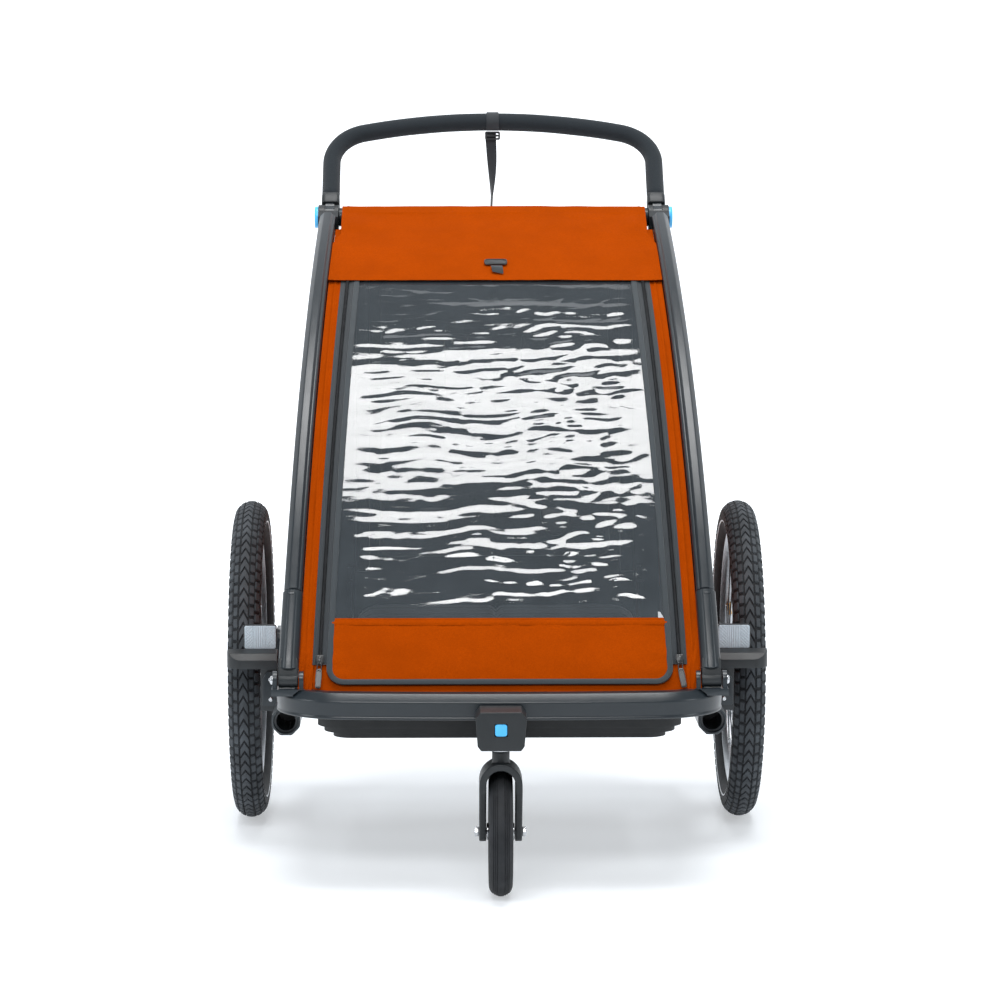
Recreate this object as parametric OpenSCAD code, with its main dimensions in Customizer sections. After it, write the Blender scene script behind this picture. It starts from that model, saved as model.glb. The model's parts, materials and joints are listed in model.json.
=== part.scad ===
// Two-seat child bicycle trailer in its stroller setup: folding tube frame, fabric cabin,
// two large rear wheels, a swivelling front wheel and an adjustable push handle.
// Millimetres. +X is the rider's left seen from the front, +Y points to the rear, +Z is up.
// Heights start at the ground. Lengths along Y are measured from the rear axle, and one
// shift at the end centres the whole trailer on the origin.

/* [Rear wheels] */
// Outer diameter of the rear tyres
wheel_d = 500; // [490:1:506]
// Width of the rear tyres
tyre_w = 54; // [48:1:56]
// Distance between the two rear wheel planes
track = 770; // [764:1:790]

/* [Front wheel] */
// Outer diameter of the front wheel
caster_d = 184; // [176:1:186]
// Width of the front tyre
caster_w = 34; // [28:1:36]
// Distance from the rear axle to the front wheel's swivel axis
swivel_reach = 630; // [626:1:640]
// Distance that the front wheel trails behind its swivel axis
trail = 28; // [20:1:32]

/* [Front frame] */
// Half of the spacing between the pillars at the bumper
pillar_half_low = 303; // [302:1:305]
// Half of the spacing between the pillars at the handle joints
pillar_half_top = 266; // [265:1:267]
// Radius of the pillars' curve
pillar_r = 1395; // [1380:5:1410]
// Width of the pillar section across the trailer
pillar_w = 26; // [24:1:28]
// Depth of the pillar section
pillar_d = 36; // [32:1:38]

/* [Handle] */
// Half of the spacing between the handle's legs
handle_half = 264; // [263:1:265]
// Diameter of the handle tube
handle_tube_d = 22; // [20:1:24]
// Diameter of the foam grip
grip_d = 29; // [27:1:31]
// Lean of the handle, up from horizontal, in degrees
handle_lean = 46; // [40:1:55]

/* [Base] */
// Width across flats of the octagonal side rails
rail_af = 41; // [38:1:41]
// Half of the spacing between the side rails
rail_half = 310; // [309:1:311]
// Radius of the tow bar socket in each rail
socket_r = 14.2; // [13:0.1:15]
// Depth of the tow bar socket
socket_depth = 90; // [60:5:120]

/* [Hidden] */

$fn = 64;
gap = 0.3;               // space left between neighbouring pieces
run = 0.05;              // radial clearance of a running fit
hair = 0.02;             // hairline between the stretches of a bent bar

graphite = [0.17, 0.19, 0.21];
black = [0.07, 0.07, 0.08];
orange = [0.80, 0.30, 0.05];
blue = [0.25, 0.66, 0.90];
silver = [0.78, 0.79, 0.80];
smoke = [0.32, 0.35, 0.38];

// Ground plan
axle_z = wheel_d / 2;
wheel_x = track / 2;
joint = [185, 943];      // handle joint and top tube
arch_top = 213.7;        // middle of the handle above the joint, along its lean
strap_t = 2.4;           // thickness of the wrist strap
rear_reach = joint[0] + arch_top * cos(handle_lean) + grip_d / 2 + strap_t;
front_reach = swivel_reach - trail + caster_d / 2;
shift_y = (front_reach - rear_reach) / 2;

// Curve of the pillars, in the plane of Y and Z
low = [-540, 300];       // hinge of the front frame
top = [170, 945];        // upper end of the curve
chord = norm(top - low);
chord_angle = atan2(top[1] - low[1], top[0] - low[0]);
curve_drop = sqrt(pillar_r * pillar_r - chord * chord / 4);
curve_c = (low + top) / 2 + curve_drop * [sin(chord_angle), -cos(chord_angle)];
half_sweep = asin(chord / 2 / pillar_r);
curve_mid = 90 + chord_angle;
curve_low = curve_mid + half_sweep;
curve_top = curve_mid - half_sweep;
taper = atan((pillar_half_low - pillar_half_top) / chord);

// Angles on that curve, from the top to the bumper
pillar_end = curve_top + 0.9;
hood_hem = 121.1;
window_end = 148.3;
flap_end = curve_low - 0.3;
sleeve_top = 146.85;
sleeve_end = curve_low - 1.1;

// Rows across the cover, measured inwards from the pillar's centre line
gusset_in = 34;
zip_in = 54;

// Base heights
rail_z = 229;
rail_front = -475;
rail_back = 240;
bumper_low = 250;
bumper_top = 288;
tub_floor = 214;
tub_rim = 296;
tub_half = 262;
tub_front = -552;
tub_back = -22;
plate_x = rail_half + rail_af / 2 + 0.5;  // inner face of the wheel plates
plate_t = 14;

// Places parts drawn from the rear axle in the trailer's frame
module place() { translate([0, shift_y, 0]) children(); }

// Mirrors right-hand parts to the left
module on_side(side) { mirror([side < 0 ? 1 : 0, 0, 0]) children(); }

// Turns a drawing made about Z so that its axis lies along X: x to Y, y to Z, z to X
module along_x() { rotate([90, 0, 90]) children(); }

// Centre of the curve, axis along X, for pieces of constant width
module on_curve() { translate([0, curve_c[0], curve_c[1]]) along_x() children(); }

// The same curve leaned inwards towards the top, for the right-hand pillar
module on_pillar() {
    translate([pillar_half_low, low[0], low[1]])
        rotate(a = taper, v = [0, -sin(chord_angle), cos(chord_angle)])
            translate([0, curve_c[0] - low[0], curve_c[1] - low[1]])
                along_x()
                    children();
}

// Curved strip between two angles with the section drawn as (radius, width)
module sweep(from, to) {
    rotate([0, 0, from]) rotate_extrude(angle = to - from, $fn = 180) children();
}

// Shell of the cover: from radius pillar_r + r0 to pillar_r + r1, across the full width
module shell(from, to, r0, r1) {
    on_curve() sweep(from, to) translate([pillar_r + r0, -320]) square([r1 - r0, 640]);
}

// Upright prism in the cover's plan: outline in (width, distance along the chord)
module chord_prism() {
    translate([0, low[0], low[1]])
        rotate([chord_angle, 0, 0])
            translate([0, 0, -200]) linear_extrude(500) children();
}

// Outline between two rows that run beside the right-hand pillar
module row_outline(inner, outer) {
    slope = tan(taper);
    polygon([
        [pillar_half_low + 100 * slope - inner, -100],
        [pillar_half_low + 100 * slope - outer, -100],
        [pillar_half_low - (chord + 100) * slope - outer, chord + 100],
        [pillar_half_low - (chord + 100) * slope - inner, chord + 100]
    ]);
}

// Outline of the middle of the cover, between the two zips
module middle_outline(edge) {
    slope = tan(taper);
    wide = pillar_half_low + 100 * slope - edge;
    narrow = pillar_half_low - (chord + 100) * slope - edge;
    polygon([[-wide, -100], [wide, -100], [narrow, chord + 100], [-narrow, chord + 100]]);
}

// Faceted section centred on the origin: a rectangle with cut corners
module cut_rectangle(w, d, cut) {
    polygon([
        [-w / 2 + cut, -d / 2], [w / 2 - cut, -d / 2], [w / 2, -d / 2 + cut], [w / 2, d / 2 - cut],
        [w / 2 - cut, d / 2], [-w / 2 + cut, d / 2], [-w / 2, d / 2 - cut], [-w / 2, -d / 2 + cut]
    ]);
}

module rounded_square(w, h, r) {
    for (x = [-w / 2 + r, w / 2 - r]) {
        for (y = [-h / 2 + r, h / 2 - r]) translate([x, y]) circle(r);
    }
    square([w - 2 * r, h], center = true);
    square([w, h - 2 * r], center = true);
}

// ---------------------------------------------------------------- base

// Bumper bar: a bowed front, two tight corners and short side legs. Their ends stay a
// hairline apart, and inserts inside the bar join them.
bumper_d = 30;           // depth of the bar from front to back
bumper_bow_r = 2600;
bumper_corner_r = 90;
bumper_leg_x = 308;      // centre of the side legs
bumper_front = -600;
bow_c = bumper_front + bumper_d / 2 + bumper_bow_r;
corner_x = bumper_leg_x - bumper_corner_r;
corner_y = bow_c - sqrt(pow(bumper_bow_r - bumper_corner_r, 2) - corner_x * corner_x);
bow_half = asin(corner_x / (bumper_bow_r - bumper_corner_r));

module bumper_section() { cut_rectangle(bumper_d, bumper_top - bumper_low, 7); }

// Joins two stretches of the bar from inside, centred on their seam
module bumper_insert() {
    h = bumper_top - bumper_low;
    translate([0, -10, 0]) rotate([-90, 0, 0]) linear_extrude(20) cut_rectangle(bumper_d - 8, h - 8, 5);
}

module bumper_leg_end() {
    translate([bumper_leg_x, corner_y + hair, 0])
        rotate([-90, 0, 0]) linear_extrude(60) bumper_section();
}

ear_t = 6;
foot_z = 279;            // underside of the plate that joins the hinge ears
module hinge_ear(x) {
    translate([x, low[0], 0]) along_x() linear_extrude(ear_t) difference() {
        union() {
            translate([0, low[1]]) circle(13);
            translate([-13, foot_z + 2]) square([26, low[1] - foot_z - 2]);
        }
        translate([0, low[1]]) circle(5 + run);
    }
}

module front_bumper() {
    color(graphite) place() {
        translate([0, 0, (bumper_low + bumper_top) / 2]) {
            translate([0, bow_c, 0]) rotate([0, 0, 270 - bow_half])
                rotate_extrude(angle = 2 * bow_half, $fn = 180)
                    translate([bumper_bow_r, 0]) bumper_section();
            for (side = [-1, 1]) on_side(side) {
                translate([corner_x, corner_y, 0]) rotate([0, 0, 270 + bow_half + hair])
                    rotate_extrude(angle = 90 - bow_half - hair)
                        translate([bumper_corner_r, 0]) bumper_section();
                bumper_leg_end();
                for (turn = [270 + bow_half, 360]) translate([corner_x, corner_y, 0])
                    rotate([0, 0, turn]) translate([bumper_corner_r, 0, 0]) bumper_insert();
            }
        }
        for (side = [-1, 1]) on_side(side) {
            hinge_ear(pillar_half_low - pillar_w / 2 - 3 - ear_t);
            hinge_ear(pillar_half_low + pillar_w / 2 + 3);
            translate([pillar_half_low - 24, low[0] - 16, foot_z]) cube([48, 36, bumper_top - foot_z + 0.5]);
        }
    }
}

module hinge_pins() {
    color(silver) place() for (side = [-1, 1]) on_side(side)
        translate([pillar_half_low - pillar_w / 2 - 10, low[0], low[1]])
            along_x() cylinder(h = pillar_w + 20, r = 5);
}

module side_rail(side) {
    color(graphite) place() on_side(side)
        translate([rail_half, rail_front, rail_z]) rotate([-90, 0, 0]) difference() {
            rotate([0, 0, 22.5]) cylinder(h = rail_back - rail_front, r = rail_af / 2 / cos(22.5), $fn = 8);
            translate([0, 0, -1]) cylinder(h = socket_depth + 1, r = socket_r);
            translate([0, 0, -1]) cylinder(h = 7, r = socket_r + 3);
        }
}

// Rear tube, with the two lugs and the pin that carry the brake pedal
cross_y = 222;
cross_z = 238;
pedal_x = 173;           // middle of the pedal
pedal_y = 248;           // axis that the pedal turns on
pedal_w = 46;
pedal_pin_r = 3;
lug_t = 6;
module rear_cross_tube() {
    half = rail_half - rail_af / 2 - gap;
    color(graphite) place() {
        translate([-half, cross_y, cross_z]) along_x() cylinder(h = 2 * half, r = 12.5);
        for (x = [pedal_x - pedal_w / 2 - 1 - lug_t, pedal_x + pedal_w / 2 + 1]) {
            translate([x, cross_y, cross_z - 7]) cube([lug_t, pedal_y - cross_y + 7, 14]);
        }
        translate([pedal_x - pedal_w / 2 - 4, pedal_y, cross_z])
            along_x() cylinder(h = pedal_w + 8, r = pedal_pin_r);
    }
}

// Cross beam over the rails with the plates that take the wheels and the latch posts
beam_z = 265;
brake_r = 24;            // radius of the brake pin from the wheel's axis
brake_angle = 30;
latch_x = 226;
module axle_beam() {
    color(graphite) place() {
        difference() {
            translate([-plate_x - 1, 0, beam_z]) along_x() cylinder(h = 2 * plate_x + 2, r = 14);
            for (side = [-1, 1]) on_side(side) {
                translate([plate_x - 2, brake_r * cos(brake_angle), axle_z + brake_r * sin(brake_angle)])
                    along_x() cylinder(h = 10, r = 4);
            }
        }
        for (side = [-1, 1]) on_side(side) {
            translate([plate_x, 0, axle_z]) along_x() linear_extrude(plate_t) difference() {
                translate([0, 2]) rounded_square(76, 96, 18);
                circle(6 + run);
                rotate(brake_angle) translate([brake_r, 0]) circle(3 + run);
            }
            translate([latch_x, 0, beam_z]) along_x() linear_extrude(8) difference() {
                union() {
                    circle(20);
                    translate([-16, 0]) square([60, 128]);
                }
                translate([-17, 108]) square([40, 21]);
            }
        }
    }
}

module floor_tub() {
    w = 2 * tub_half;
    l = tub_back - tub_front;
    color(black) place() translate([0, (tub_front + tub_back) / 2, tub_floor]) difference() {
        union() {
            translate([0, 0, 18]) linear_extrude(tub_rim - tub_floor - 18) rounded_square(w, l, 40);
            translate([0, 0, 9]) linear_extrude(9.5) rounded_square(w - 18, l - 18, 36);
            linear_extrude(9.5) rounded_square(w - 44, l - 44, 28);
        }
        translate([0, 0, 4]) linear_extrude(100) rounded_square(w - 52, l - 52, 24);
        translate([0, 0, 14]) linear_extrude(100) rounded_square(w - 26, l - 26, 32);
        translate([0, 0, 22]) linear_extrude(100) rounded_square(w - 8, l - 8, 36);
        translate([-tub_half + 30, l / 2 - 60, 45]) cube([w - 60, 80, 100]);
        translate([-tub_half - 1, -l / 2 - 1, bumper_top - tub_floor - 4]) cube([w + 2, 60, 100]);
    }
}

module boot_floor() {
    color(black) place() translate([-284, 16, tub_floor]) cube([568, 188, 4]);
}

module seat_cushion() {
    color(black) place() translate([0, -122, 298]) linear_extrude(48) rounded_square(460, 190, 30);
}

// Guard in front of each wheel, with its bracket down to the rail
guard_y = -300;
module guard_profile() {
    polygon([[0, 0], [0, 13], [10, 22], [32, 26], [37, 23], [37, 6], [30, 0]]);
}
module wheel_guard(side) {
    inner = plate_x;
    reach = 407 - inner;
    color(graphite) place() on_side(side) {
        intersection() {
            translate([inner, guard_y, 279]) along_x() linear_extrude(reach) guard_profile();
            translate([inner - 30, guard_y, 200]) linear_extrude(150)
                translate([(reach + 30) / 2, 26]) rounded_square(reach + 30, 52, 22);
        }
        translate([inner + 6, guard_y + 10, 214]) cube([19, 8, 66]);
        translate([inner, guard_y + 18, 214]) cube([8, 19, 66]);
        translate([inner, guard_y + 10, 214]) cube([8, 9, 66]);
    }
}

module reflector(side) {
    color(silver) place() on_side(side)
        translate([plate_x + 2, guard_y + 37 + gap, 303]) rotate([90, 0, 0]) mirror([0, 0, 1])
            linear_extrude(6) translate([25, 19]) rounded_square(50, 38, 5);
}

module guard_screws() {
    color(silver) place() for (side = [-1, 1]) on_side(side) {
        for (z = [222, 240])
            translate([plate_x + 8 + gap, guard_y + 27.5, z]) along_x() cylinder(h = 4, r = 4.5);
    }
}

// Socket for the front wheel, hung on the middle of the bumper
mount_front = -664;
mount_low = 218;
mount_top = 273;
module caster_mount() {
    bore_y = -swivel_reach - mount_front;
    color(graphite) place() translate([0, mount_front, 0]) difference() {
        intersection() {
            union() {
                translate([-36, 0, mount_low])
                    cube([72, bumper_front - mount_front - 1, mount_top - mount_low]);
                translate([-36, 0, mount_low]) cube([72, 100, bumper_low - mount_low - 1]);
            }
            translate([0, 120, 0]) rotate([90, 0, 0]) linear_extrude(121)
                translate([0, (mount_low + mount_top) / 2])
                    polygon([[-28, -27.5], [28, -27.5], [33, -21], [36, 18], [29, 27.5],
                        [-29, 27.5], [-36, 18], [-33, -21]]);
        }
        translate([0, bore_y, mount_low - 1]) cylinder(h = 40, r = 11 + run);
        translate([-9, -1, 238.5]) cube([18, 10, 18]);
    }
}

module caster_button() {
    color(blue) place() translate([0, mount_front + 4, 247.5]) rotate([90, 0, 0]) linear_extrude(6)
        rounded_square(17, 17, 3);
}

// ---------------------------------------------------------------- brake

module brake_pedal() {
    color(black) place() translate([pedal_x - pedal_w / 2, pedal_y, cross_z]) along_x()
        linear_extrude(pedal_w) difference() {
            union() {
                circle(8);
                translate([0, -4]) square([44, 8]);
                translate([44, 0]) circle(6);
            }
            circle(pedal_pin_r + run);
        }
}

module brake_pin(side) {
    color(silver) place() on_side(side)
        translate([plate_x - 34, brake_r * cos(brake_angle), axle_z + brake_r * sin(brake_angle)])
            along_x() cylinder(h = plate_t + 36, r = 3);
}

// ---------------------------------------------------------------- soft sides

// Outline of a side in (distance from the curve's centre), below the pillar
module side_outline() {
    intersection() {
        difference() {
            circle(pillar_r - pillar_d / 2 - 2.5, $fn = 360);
            circle(300);
        }
        polygon([
            [low[0] + 38, 291] - curve_c, [214, 291] - curve_c, [214, 700] - curve_c,
            [148, 888] - curve_c, [90, 1000] - curve_c, [low[0] + 38, 1000] - curve_c
        ]);
    }
}

module side_panel(side) {
    color(orange) place() on_side(side) on_pillar() translate([0, 0, -3]) linear_extrude(2) side_outline();
}

module rear_panel() {
    color(black) place() intersection() {
        translate([-300, 0, 0]) along_x() linear_extrude(600)
            polygon([[206, 925], [208, 925], [238, 660], [238, 262], [236, 262], [236, 659]]);
        translate([0, 300, 0]) rotate([90, 0, 0]) linear_extrude(200)
            polygon([[-272, 250], [272, 250], [246, 930], [-246, 930]]);
    }
}

// ---------------------------------------------------------------- front frame

pivot = [115, 885];      // pivot of the rear hoop under the pillars
hoop_r = 11;             // radius of the rear hoop's tube

// Plate under the pillar that carries the rear hoop's cross bar
module hoop_ear() {
    translate([257, pivot[0], pivot[1]]) along_x() linear_extrude(6) difference() {
        union() {
            circle(hoop_r + 7);
            rotate(-45) translate([-9, 0]) square([18, 25]);
        }
        circle(hoop_r + run);
    }
}

module pillar(side) {
    color(graphite) place() on_side(side) {
        on_pillar() sweep(pillar_end, sleeve_top)
            translate([pillar_r, 0]) cut_rectangle(pillar_d, pillar_w, 8);
        hoop_ear();
    }
}

module pillar_sleeve(side) {
    color(graphite) place() on_side(side) {
        on_pillar() sweep(sleeve_top + 0.02, sleeve_end)
            translate([pillar_r, 0]) cut_rectangle(pillar_d + 3, pillar_w + 3, 9);
        difference() {
            translate([pillar_half_low - pillar_w / 2 - 1, low[0], low[1]]) along_x()
                linear_extrude(pillar_w + 2) {
                    circle(11);
                    rotate(curve_low - 90) translate([0, -10.5]) square([30, 21]);
                }
            translate([pillar_half_low - 30, low[0], low[1]]) along_x() cylinder(h = 60, r = 5 + run);
        }
    }
}

stub_face = 250.5;       // inner face of the handle joint
joint_face = 283;        // outer face of the handle joint
module top_tube() {
    half = stub_face - gap;
    color(graphite) place() translate([-half, joint[0], joint[1]]) along_x() cylinder(h = 2 * half, r = 15);
}

lug_in = 258;
lug_out = 272;
module handle_joint(side) {
    color(graphite) place() on_side(side) translate([0, joint[0], joint[1]]) {
        difference() {
            translate([stub_face, 0, 0]) along_x() linear_extrude(joint_face - stub_face) {
                circle(20);
                rotate(202) translate([0, -16]) square([34, 32]);
                rotate(270) translate([0, -11]) square([24, 22]);
            }
            translate([lug_in - 0.4, 0, 0]) along_x() linear_extrude(lug_out - lug_in + 0.8) {
                circle(19);
                polygon([[0, -6], [30, -42], [60, 0], [60, 60], [-16, 60], [-20, 16]]);
            }
            translate([joint_face - 4.2, 0, 0]) along_x() cylinder(h = 5, r = 17.8);
        }
        translate([stub_face, 0, 0]) along_x() cylinder(h = joint_face - stub_face - 4.5, r = 6);
    }
}

module hood() {
    color(orange) place() {
        intersection() {
            shell(pillar_end - 1, hood_hem, 6, 8);
            translate([-245, -500, 0]) cube([490, 1000, 2000]);
        }
        translate([-245, joint[0], joint[1]]) along_x() rotate([0, 0, -20])
            rotate_extrude(angle = 130) translate([15 + gap, 0]) square([1.8, 490]);
    }
}

module front_window() {
    color(smoke) place() intersection() {
        shell(hood_hem - 1, window_end, 2.5, 4);
        chord_prism() middle_outline(zip_in + 0.5);
    }
}

module lower_flap() {
    color(orange) place() intersection() {
        shell(window_end + 0.03, flap_end, 2.5, 5);
        chord_prism() middle_outline(zip_in + 0.5);
    }
}

module cover_gussets() {
    color(orange) place() for (side = [-1, 1]) on_side(side) intersection() {
        shell(pillar_end + 1, curve_low - 0.9, 1, 3);
        chord_prism() row_outline(pillar_w / 2 + 2.2, gusset_in - 0.5);
    }
}

module zip_tape(side) {
    color(black) place() on_side(side) intersection() {
        shell(hood_hem - 1, flap_end, 2, 4.5);
        chord_prism() row_outline(gusset_in, zip_in);
    }
}

// Slider with its pull, parked at the bottom of the zip
slider_angle = 151.2;
module zip_slider(side) {
    color(black) place() on_side(side) on_pillar() rotate([0, 0, slider_angle])
        translate([pillar_r + 5, 0, -(gusset_in + zip_in) / 2]) {
            translate([0, -8, -5.5]) cube([4.5, 15, 11]);
            translate([1.5, 6, -1.5]) cube([5, 10, 3]);
            translate([3, 14, -3]) cube([3, 28, 6]);
        }
}

// ---------------------------------------------------------------- rear hoop

hoop_half = 210;
hoop_foot = [30, 385];
hoop_len = norm(pivot - hoop_foot);
hoop_angle = atan2(hoop_foot[1] - pivot[1], hoop_foot[0] - pivot[0]);
module rear_hoop() {
    color(graphite) place() {
        translate([-264.5, pivot[0], pivot[1]]) along_x() cylinder(h = 529, r = hoop_r);
        for (side = [-1, 1]) on_side(side) {
            translate([hoop_half, pivot[0], pivot[1]]) rotate([hoop_angle - 90, 0, 0])
                cylinder(h = hoop_len, r = hoop_r);
        }
    }
}

module seat_back() {
    color(black) place() translate([0, pivot[0], pivot[1]]) rotate([hoop_angle, 0, 0])
        translate([0, 28, -9]) translate([0, (hoop_len - 40) / 2, 0])
            linear_extrude(20) rounded_square(388, hoop_len - 40, 30);
}

module harness() {
    color(black) place() translate([0, pivot[0], pivot[1]]) rotate([hoop_angle, 0, 0])
        for (seat = [-95, 95], strap = [-32, 32])
            translate([seat + strap - 12.5, 110, -13.5]) cube([25, 330, 3]);
}

// ---------------------------------------------------------------- handle

arch_r = 878;
bend_r = 70;
bend_x = handle_half - bend_r;
arch_c = arch_top - arch_r;
bend_s = arch_c + sqrt(pow(arch_r - bend_r, 2) - bend_x * bend_x);
bend_angle = atan2(bend_s - arch_c, bend_x);

// Sweeps a section round the legs, bends and arch, from a distance along the legs.
// A hairline is left between the stretches, because their round ends would only just touch.
module handle_sweep(from) {
    for (side = [-1, 1]) on_side(side) {
        translate([handle_half, from, 0]) rotate([-90, 0, 0])
            linear_extrude(bend_s - from - hair) children();
        translate([bend_x, bend_s, 0]) rotate_extrude(angle = bend_angle - hair)
            translate([bend_r, 0]) children();
    }
    translate([0, arch_c, 0]) rotate([0, 0, bend_angle])
        rotate_extrude(angle = 180 - 2 * bend_angle, $fn = 180) translate([arch_r, 0]) children();
}

// Collars that join the stretches of the handle tube, under the foam
module handle_collars() {
    for (side = [-1, 1]) on_side(side) {
        for (turn = [0, bend_angle])
            translate([bend_x, bend_s, 0]) rotate([0, 0, turn]) translate([bend_r, -8, 0])
                rotate([-90, 0, 0]) cylinder(h = 16, r = handle_tube_d / 2 + 0.9);
    }
}

module on_handle() { place() translate([0, joint[0], joint[1]]) rotate([handle_lean, 0, 0]) children(); }

module handle_tube() {
    color(graphite) on_handle() {
        handle_sweep(24) circle(d = handle_tube_d);
        handle_collars();
        for (side = [-1, 1]) on_side(side) translate([lug_in, 0, 0]) along_x()
            linear_extrude(lug_out - lug_in) difference() {
                union() {
                    circle(18);
                    translate([0, -11]) square([40, 22]);
                }
                circle(6 + run);
            }
    }
}

module foam_grip() {
    color(black) on_handle() handle_sweep(44) difference() {
        circle(d = grip_d);
        circle(d = handle_tube_d + 2.4);
    }
}

module wrist_strap() {
    color(black) on_handle() {
        translate([-10, arch_top, 0]) along_x() difference() {
            cylinder(h = 20, r = grip_d / 2 + strap_t);
            translate([0, 0, -1]) cylinder(h = 22, r = grip_d / 2 + gap);
        }
    }
    color(black) place()
        translate([-10, joint[0] + arch_top * cos(handle_lean) - strap_t / 2,
            joint[1] + arch_top * sin(handle_lean) - grip_d / 2 - 128])
                cube([20, strap_t, 128 - strap_t - 0.5]);
}

module handle_button(side) {
    color(blue) place() on_side(side) translate([joint_face + 0.5, joint[0], joint[1]])
        along_x() cylinder(h = 5.5, r = 17.5);
}

// ---------------------------------------------------------------- front wheel

neck_top = 213;          // upper end of the fork's neck
module on_swivel() { place() translate([0, -swivel_reach, 0]) children(); }

module caster_stem() {
    color(silver) on_swivel() {
        translate([0, 0, neck_top + gap]) cylinder(h = 3.5, r = 14);
        translate([0, 0, neck_top + gap + 1]) cylinder(h = 40, r = 11);
    }
}

fork_gap = 20.5;
fork_t = 10;
fork_crown = 188;
// Half circle at the crown's height, in steps of ten degrees
function crown_arc(r, turns) = [for (turn = turns) [r * cos(turn), fork_crown - fork_gap + r * sin(turn)]];

// Seen from the front: two legs under a round crown
module fork_front() {
    half = fork_gap + fork_t;
    polygon(concat(
        [[half, 60]], crown_arc(half, [0:10:180]), [[-half, 60], [-fork_gap, 60]],
        crown_arc(fork_gap, [180:-10:0]), [[fork_gap, 60]]
    ));
}

// Seen from the side: the crown runs down and back into round leg ends
module fork_side() {
    leg_r = 14;
    tip = [for (turn = [180:12:360]) [trail + leg_r * cos(turn), caster_d / 2 + leg_r * sin(turn)]];
    polygon(concat(
        [[36, fork_crown + 8], [30, fork_crown + 20], [-22, fork_crown + 20], [-26, fork_crown + 8],
            [-24, fork_crown - 32]],
        tip,
        [[34, fork_crown - 34]]
    ));
}

module caster_fork() {
    half = fork_gap + fork_t;
    color(graphite) on_swivel() difference() {
        union() {
            intersection() {
                translate([0, 60, 0]) rotate([90, 0, 0]) linear_extrude(120) fork_front();
                translate([-half - 2, 0, 0]) along_x() linear_extrude(2 * half + 4) fork_side();
            }
            translate([0, 0, fork_crown + 3]) cylinder(h = neck_top - fork_crown - 3, r = 12.5);
        }
        translate([-half - 5, trail, caster_d / 2]) along_x() cylinder(h = 2 * half + 10, r = 4 + run);
    }
}

module caster_axle() {
    color(silver) on_swivel() translate([0, trail, caster_d / 2]) along_x() {
        translate([0, 0, -fork_gap - fork_t - 3]) cylinder(h = 2 * (fork_gap + fork_t) + 6, r = 4);
        for (z = [-fork_gap - fork_t - 6.3, fork_gap + fork_t + gap])
            translate([0, 0, z]) cylinder(h = 6, r = 7.5, $fn = 6);
    }
}

caster_rim_r = 62;
module caster_hub() {
    color(black) on_swivel() translate([0, trail, caster_d / 2]) along_x() {
        difference() {
            union() {
                translate([0, 0, -17]) cylinder(h = 34, r = 13);
                translate([0, 0, -4]) cylinder(h = 8, r = caster_rim_r);
                translate([0, 0, -13]) difference() {
                    cylinder(h = 26, r = caster_rim_r);
                    translate([0, 0, -1]) cylinder(h = 28, r = caster_rim_r - 6);
                }
            }
            translate([0, 0, -20]) cylinder(h = 40, r = 4 + run);
            for (turn = [0:5]) rotate([0, 0, turn * 60]) translate([36, 0, -20]) cylinder(h = 40, r = 12);
        }
    }
}

module caster_tyre() {
    r = caster_d / 2;
    color(black) on_swivel() translate([0, trail, r]) along_x() rotate_extrude($fn = 96)
        difference() {
            union() {
                translate([r - caster_w / 2, 0]) circle(caster_w / 2);
                translate([caster_rim_r + gap, -13]) square([r - caster_rim_r - caster_w / 2, 26]);
            }
            translate([0, -40]) square([caster_rim_r + gap, 80]);
        }
}

// ---------------------------------------------------------------- rear wheels

rim_r = 209.5;
rim_in = 194;
rim_w = 26;
module on_wheel(side) {
    place() on_side(side) translate([wheel_x, 0, axle_z]) along_x() children();
}

module rear_tyre(side) {
    r = wheel_d / 2;
    color(black) on_wheel(side) rotate_extrude($fn = 180) difference() {
        translate([r - tyre_w / 2, 0]) circle(tyre_w / 2);
        translate([0, -rim_w / 2 - gap]) square([rim_r + gap, rim_w + 2 * gap]);
        translate([0, -tyre_w]) square([rim_r - 3, 2 * tyre_w]);
    }
}

module rear_rim(side) {
    color(silver) on_wheel(side) rotate_extrude($fn = 180) difference() {
        polygon([[rim_in, -5], [rim_in, 5], [rim_in + 5, rim_w / 2], [rim_r, rim_w / 2], [rim_r, -rim_w / 2],
            [rim_in + 5, -rim_w / 2]]);
        polygon([[rim_in + 3, -5], [rim_in + 3, 5], [rim_in + 6, rim_w / 2 - 3], [rim_r + 1, rim_w / 2 - 3],
            [rim_r + 1, -rim_w / 2 + 3], [rim_in + 6, -rim_w / 2 + 3]]);
    }
}

spokes = 20;
hub_out = 19;            // outer face of the hub, from the wheel plane
flange_x = 15;
flange_r = 27;
module rear_spokes(side) {
    rise = rim_in - gap - flange_r;
    lean = atan((flange_x - 3) / rise);
    color(silver) on_wheel(side) for (turn = [0:spokes - 1]) {
        face = turn % 2 == 0 ? 1 : -1;
        rotate([0, 0, turn * 360 / spokes]) translate([flange_r + 0.5, 0, face * flange_x])
            rotate([0, 90 + face * lean, 0]) cylinder(h = rise / cos(lean) - 2, r = 1.1, $fn = 16);
    }
}

hub_in = -wheel_x + plate_x + plate_t + 3;  // inner face of the hub, from the wheel plane
module rear_hub(side) {
    color(graphite) on_wheel(side) difference() {
        union() {
            translate([0, 0, hub_in]) cylinder(h = hub_out - hub_in, r = 15);
            translate([0, 0, hub_in]) cylinder(h = 8, r = 30);
            for (x = [-flange_x, flange_x]) translate([0, 0, x - 1.5]) cylinder(h = 3, r = flange_r);
        }
        translate([0, 0, -60]) cylinder(h = 120, r = 6 + run);
        for (turn = [0:11]) rotate([0, 0, turn * 30 + brake_angle])
            translate([brake_r, 0, hub_in - 1]) cylinder(h = 10, r = 3.8);
    }
}

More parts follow.
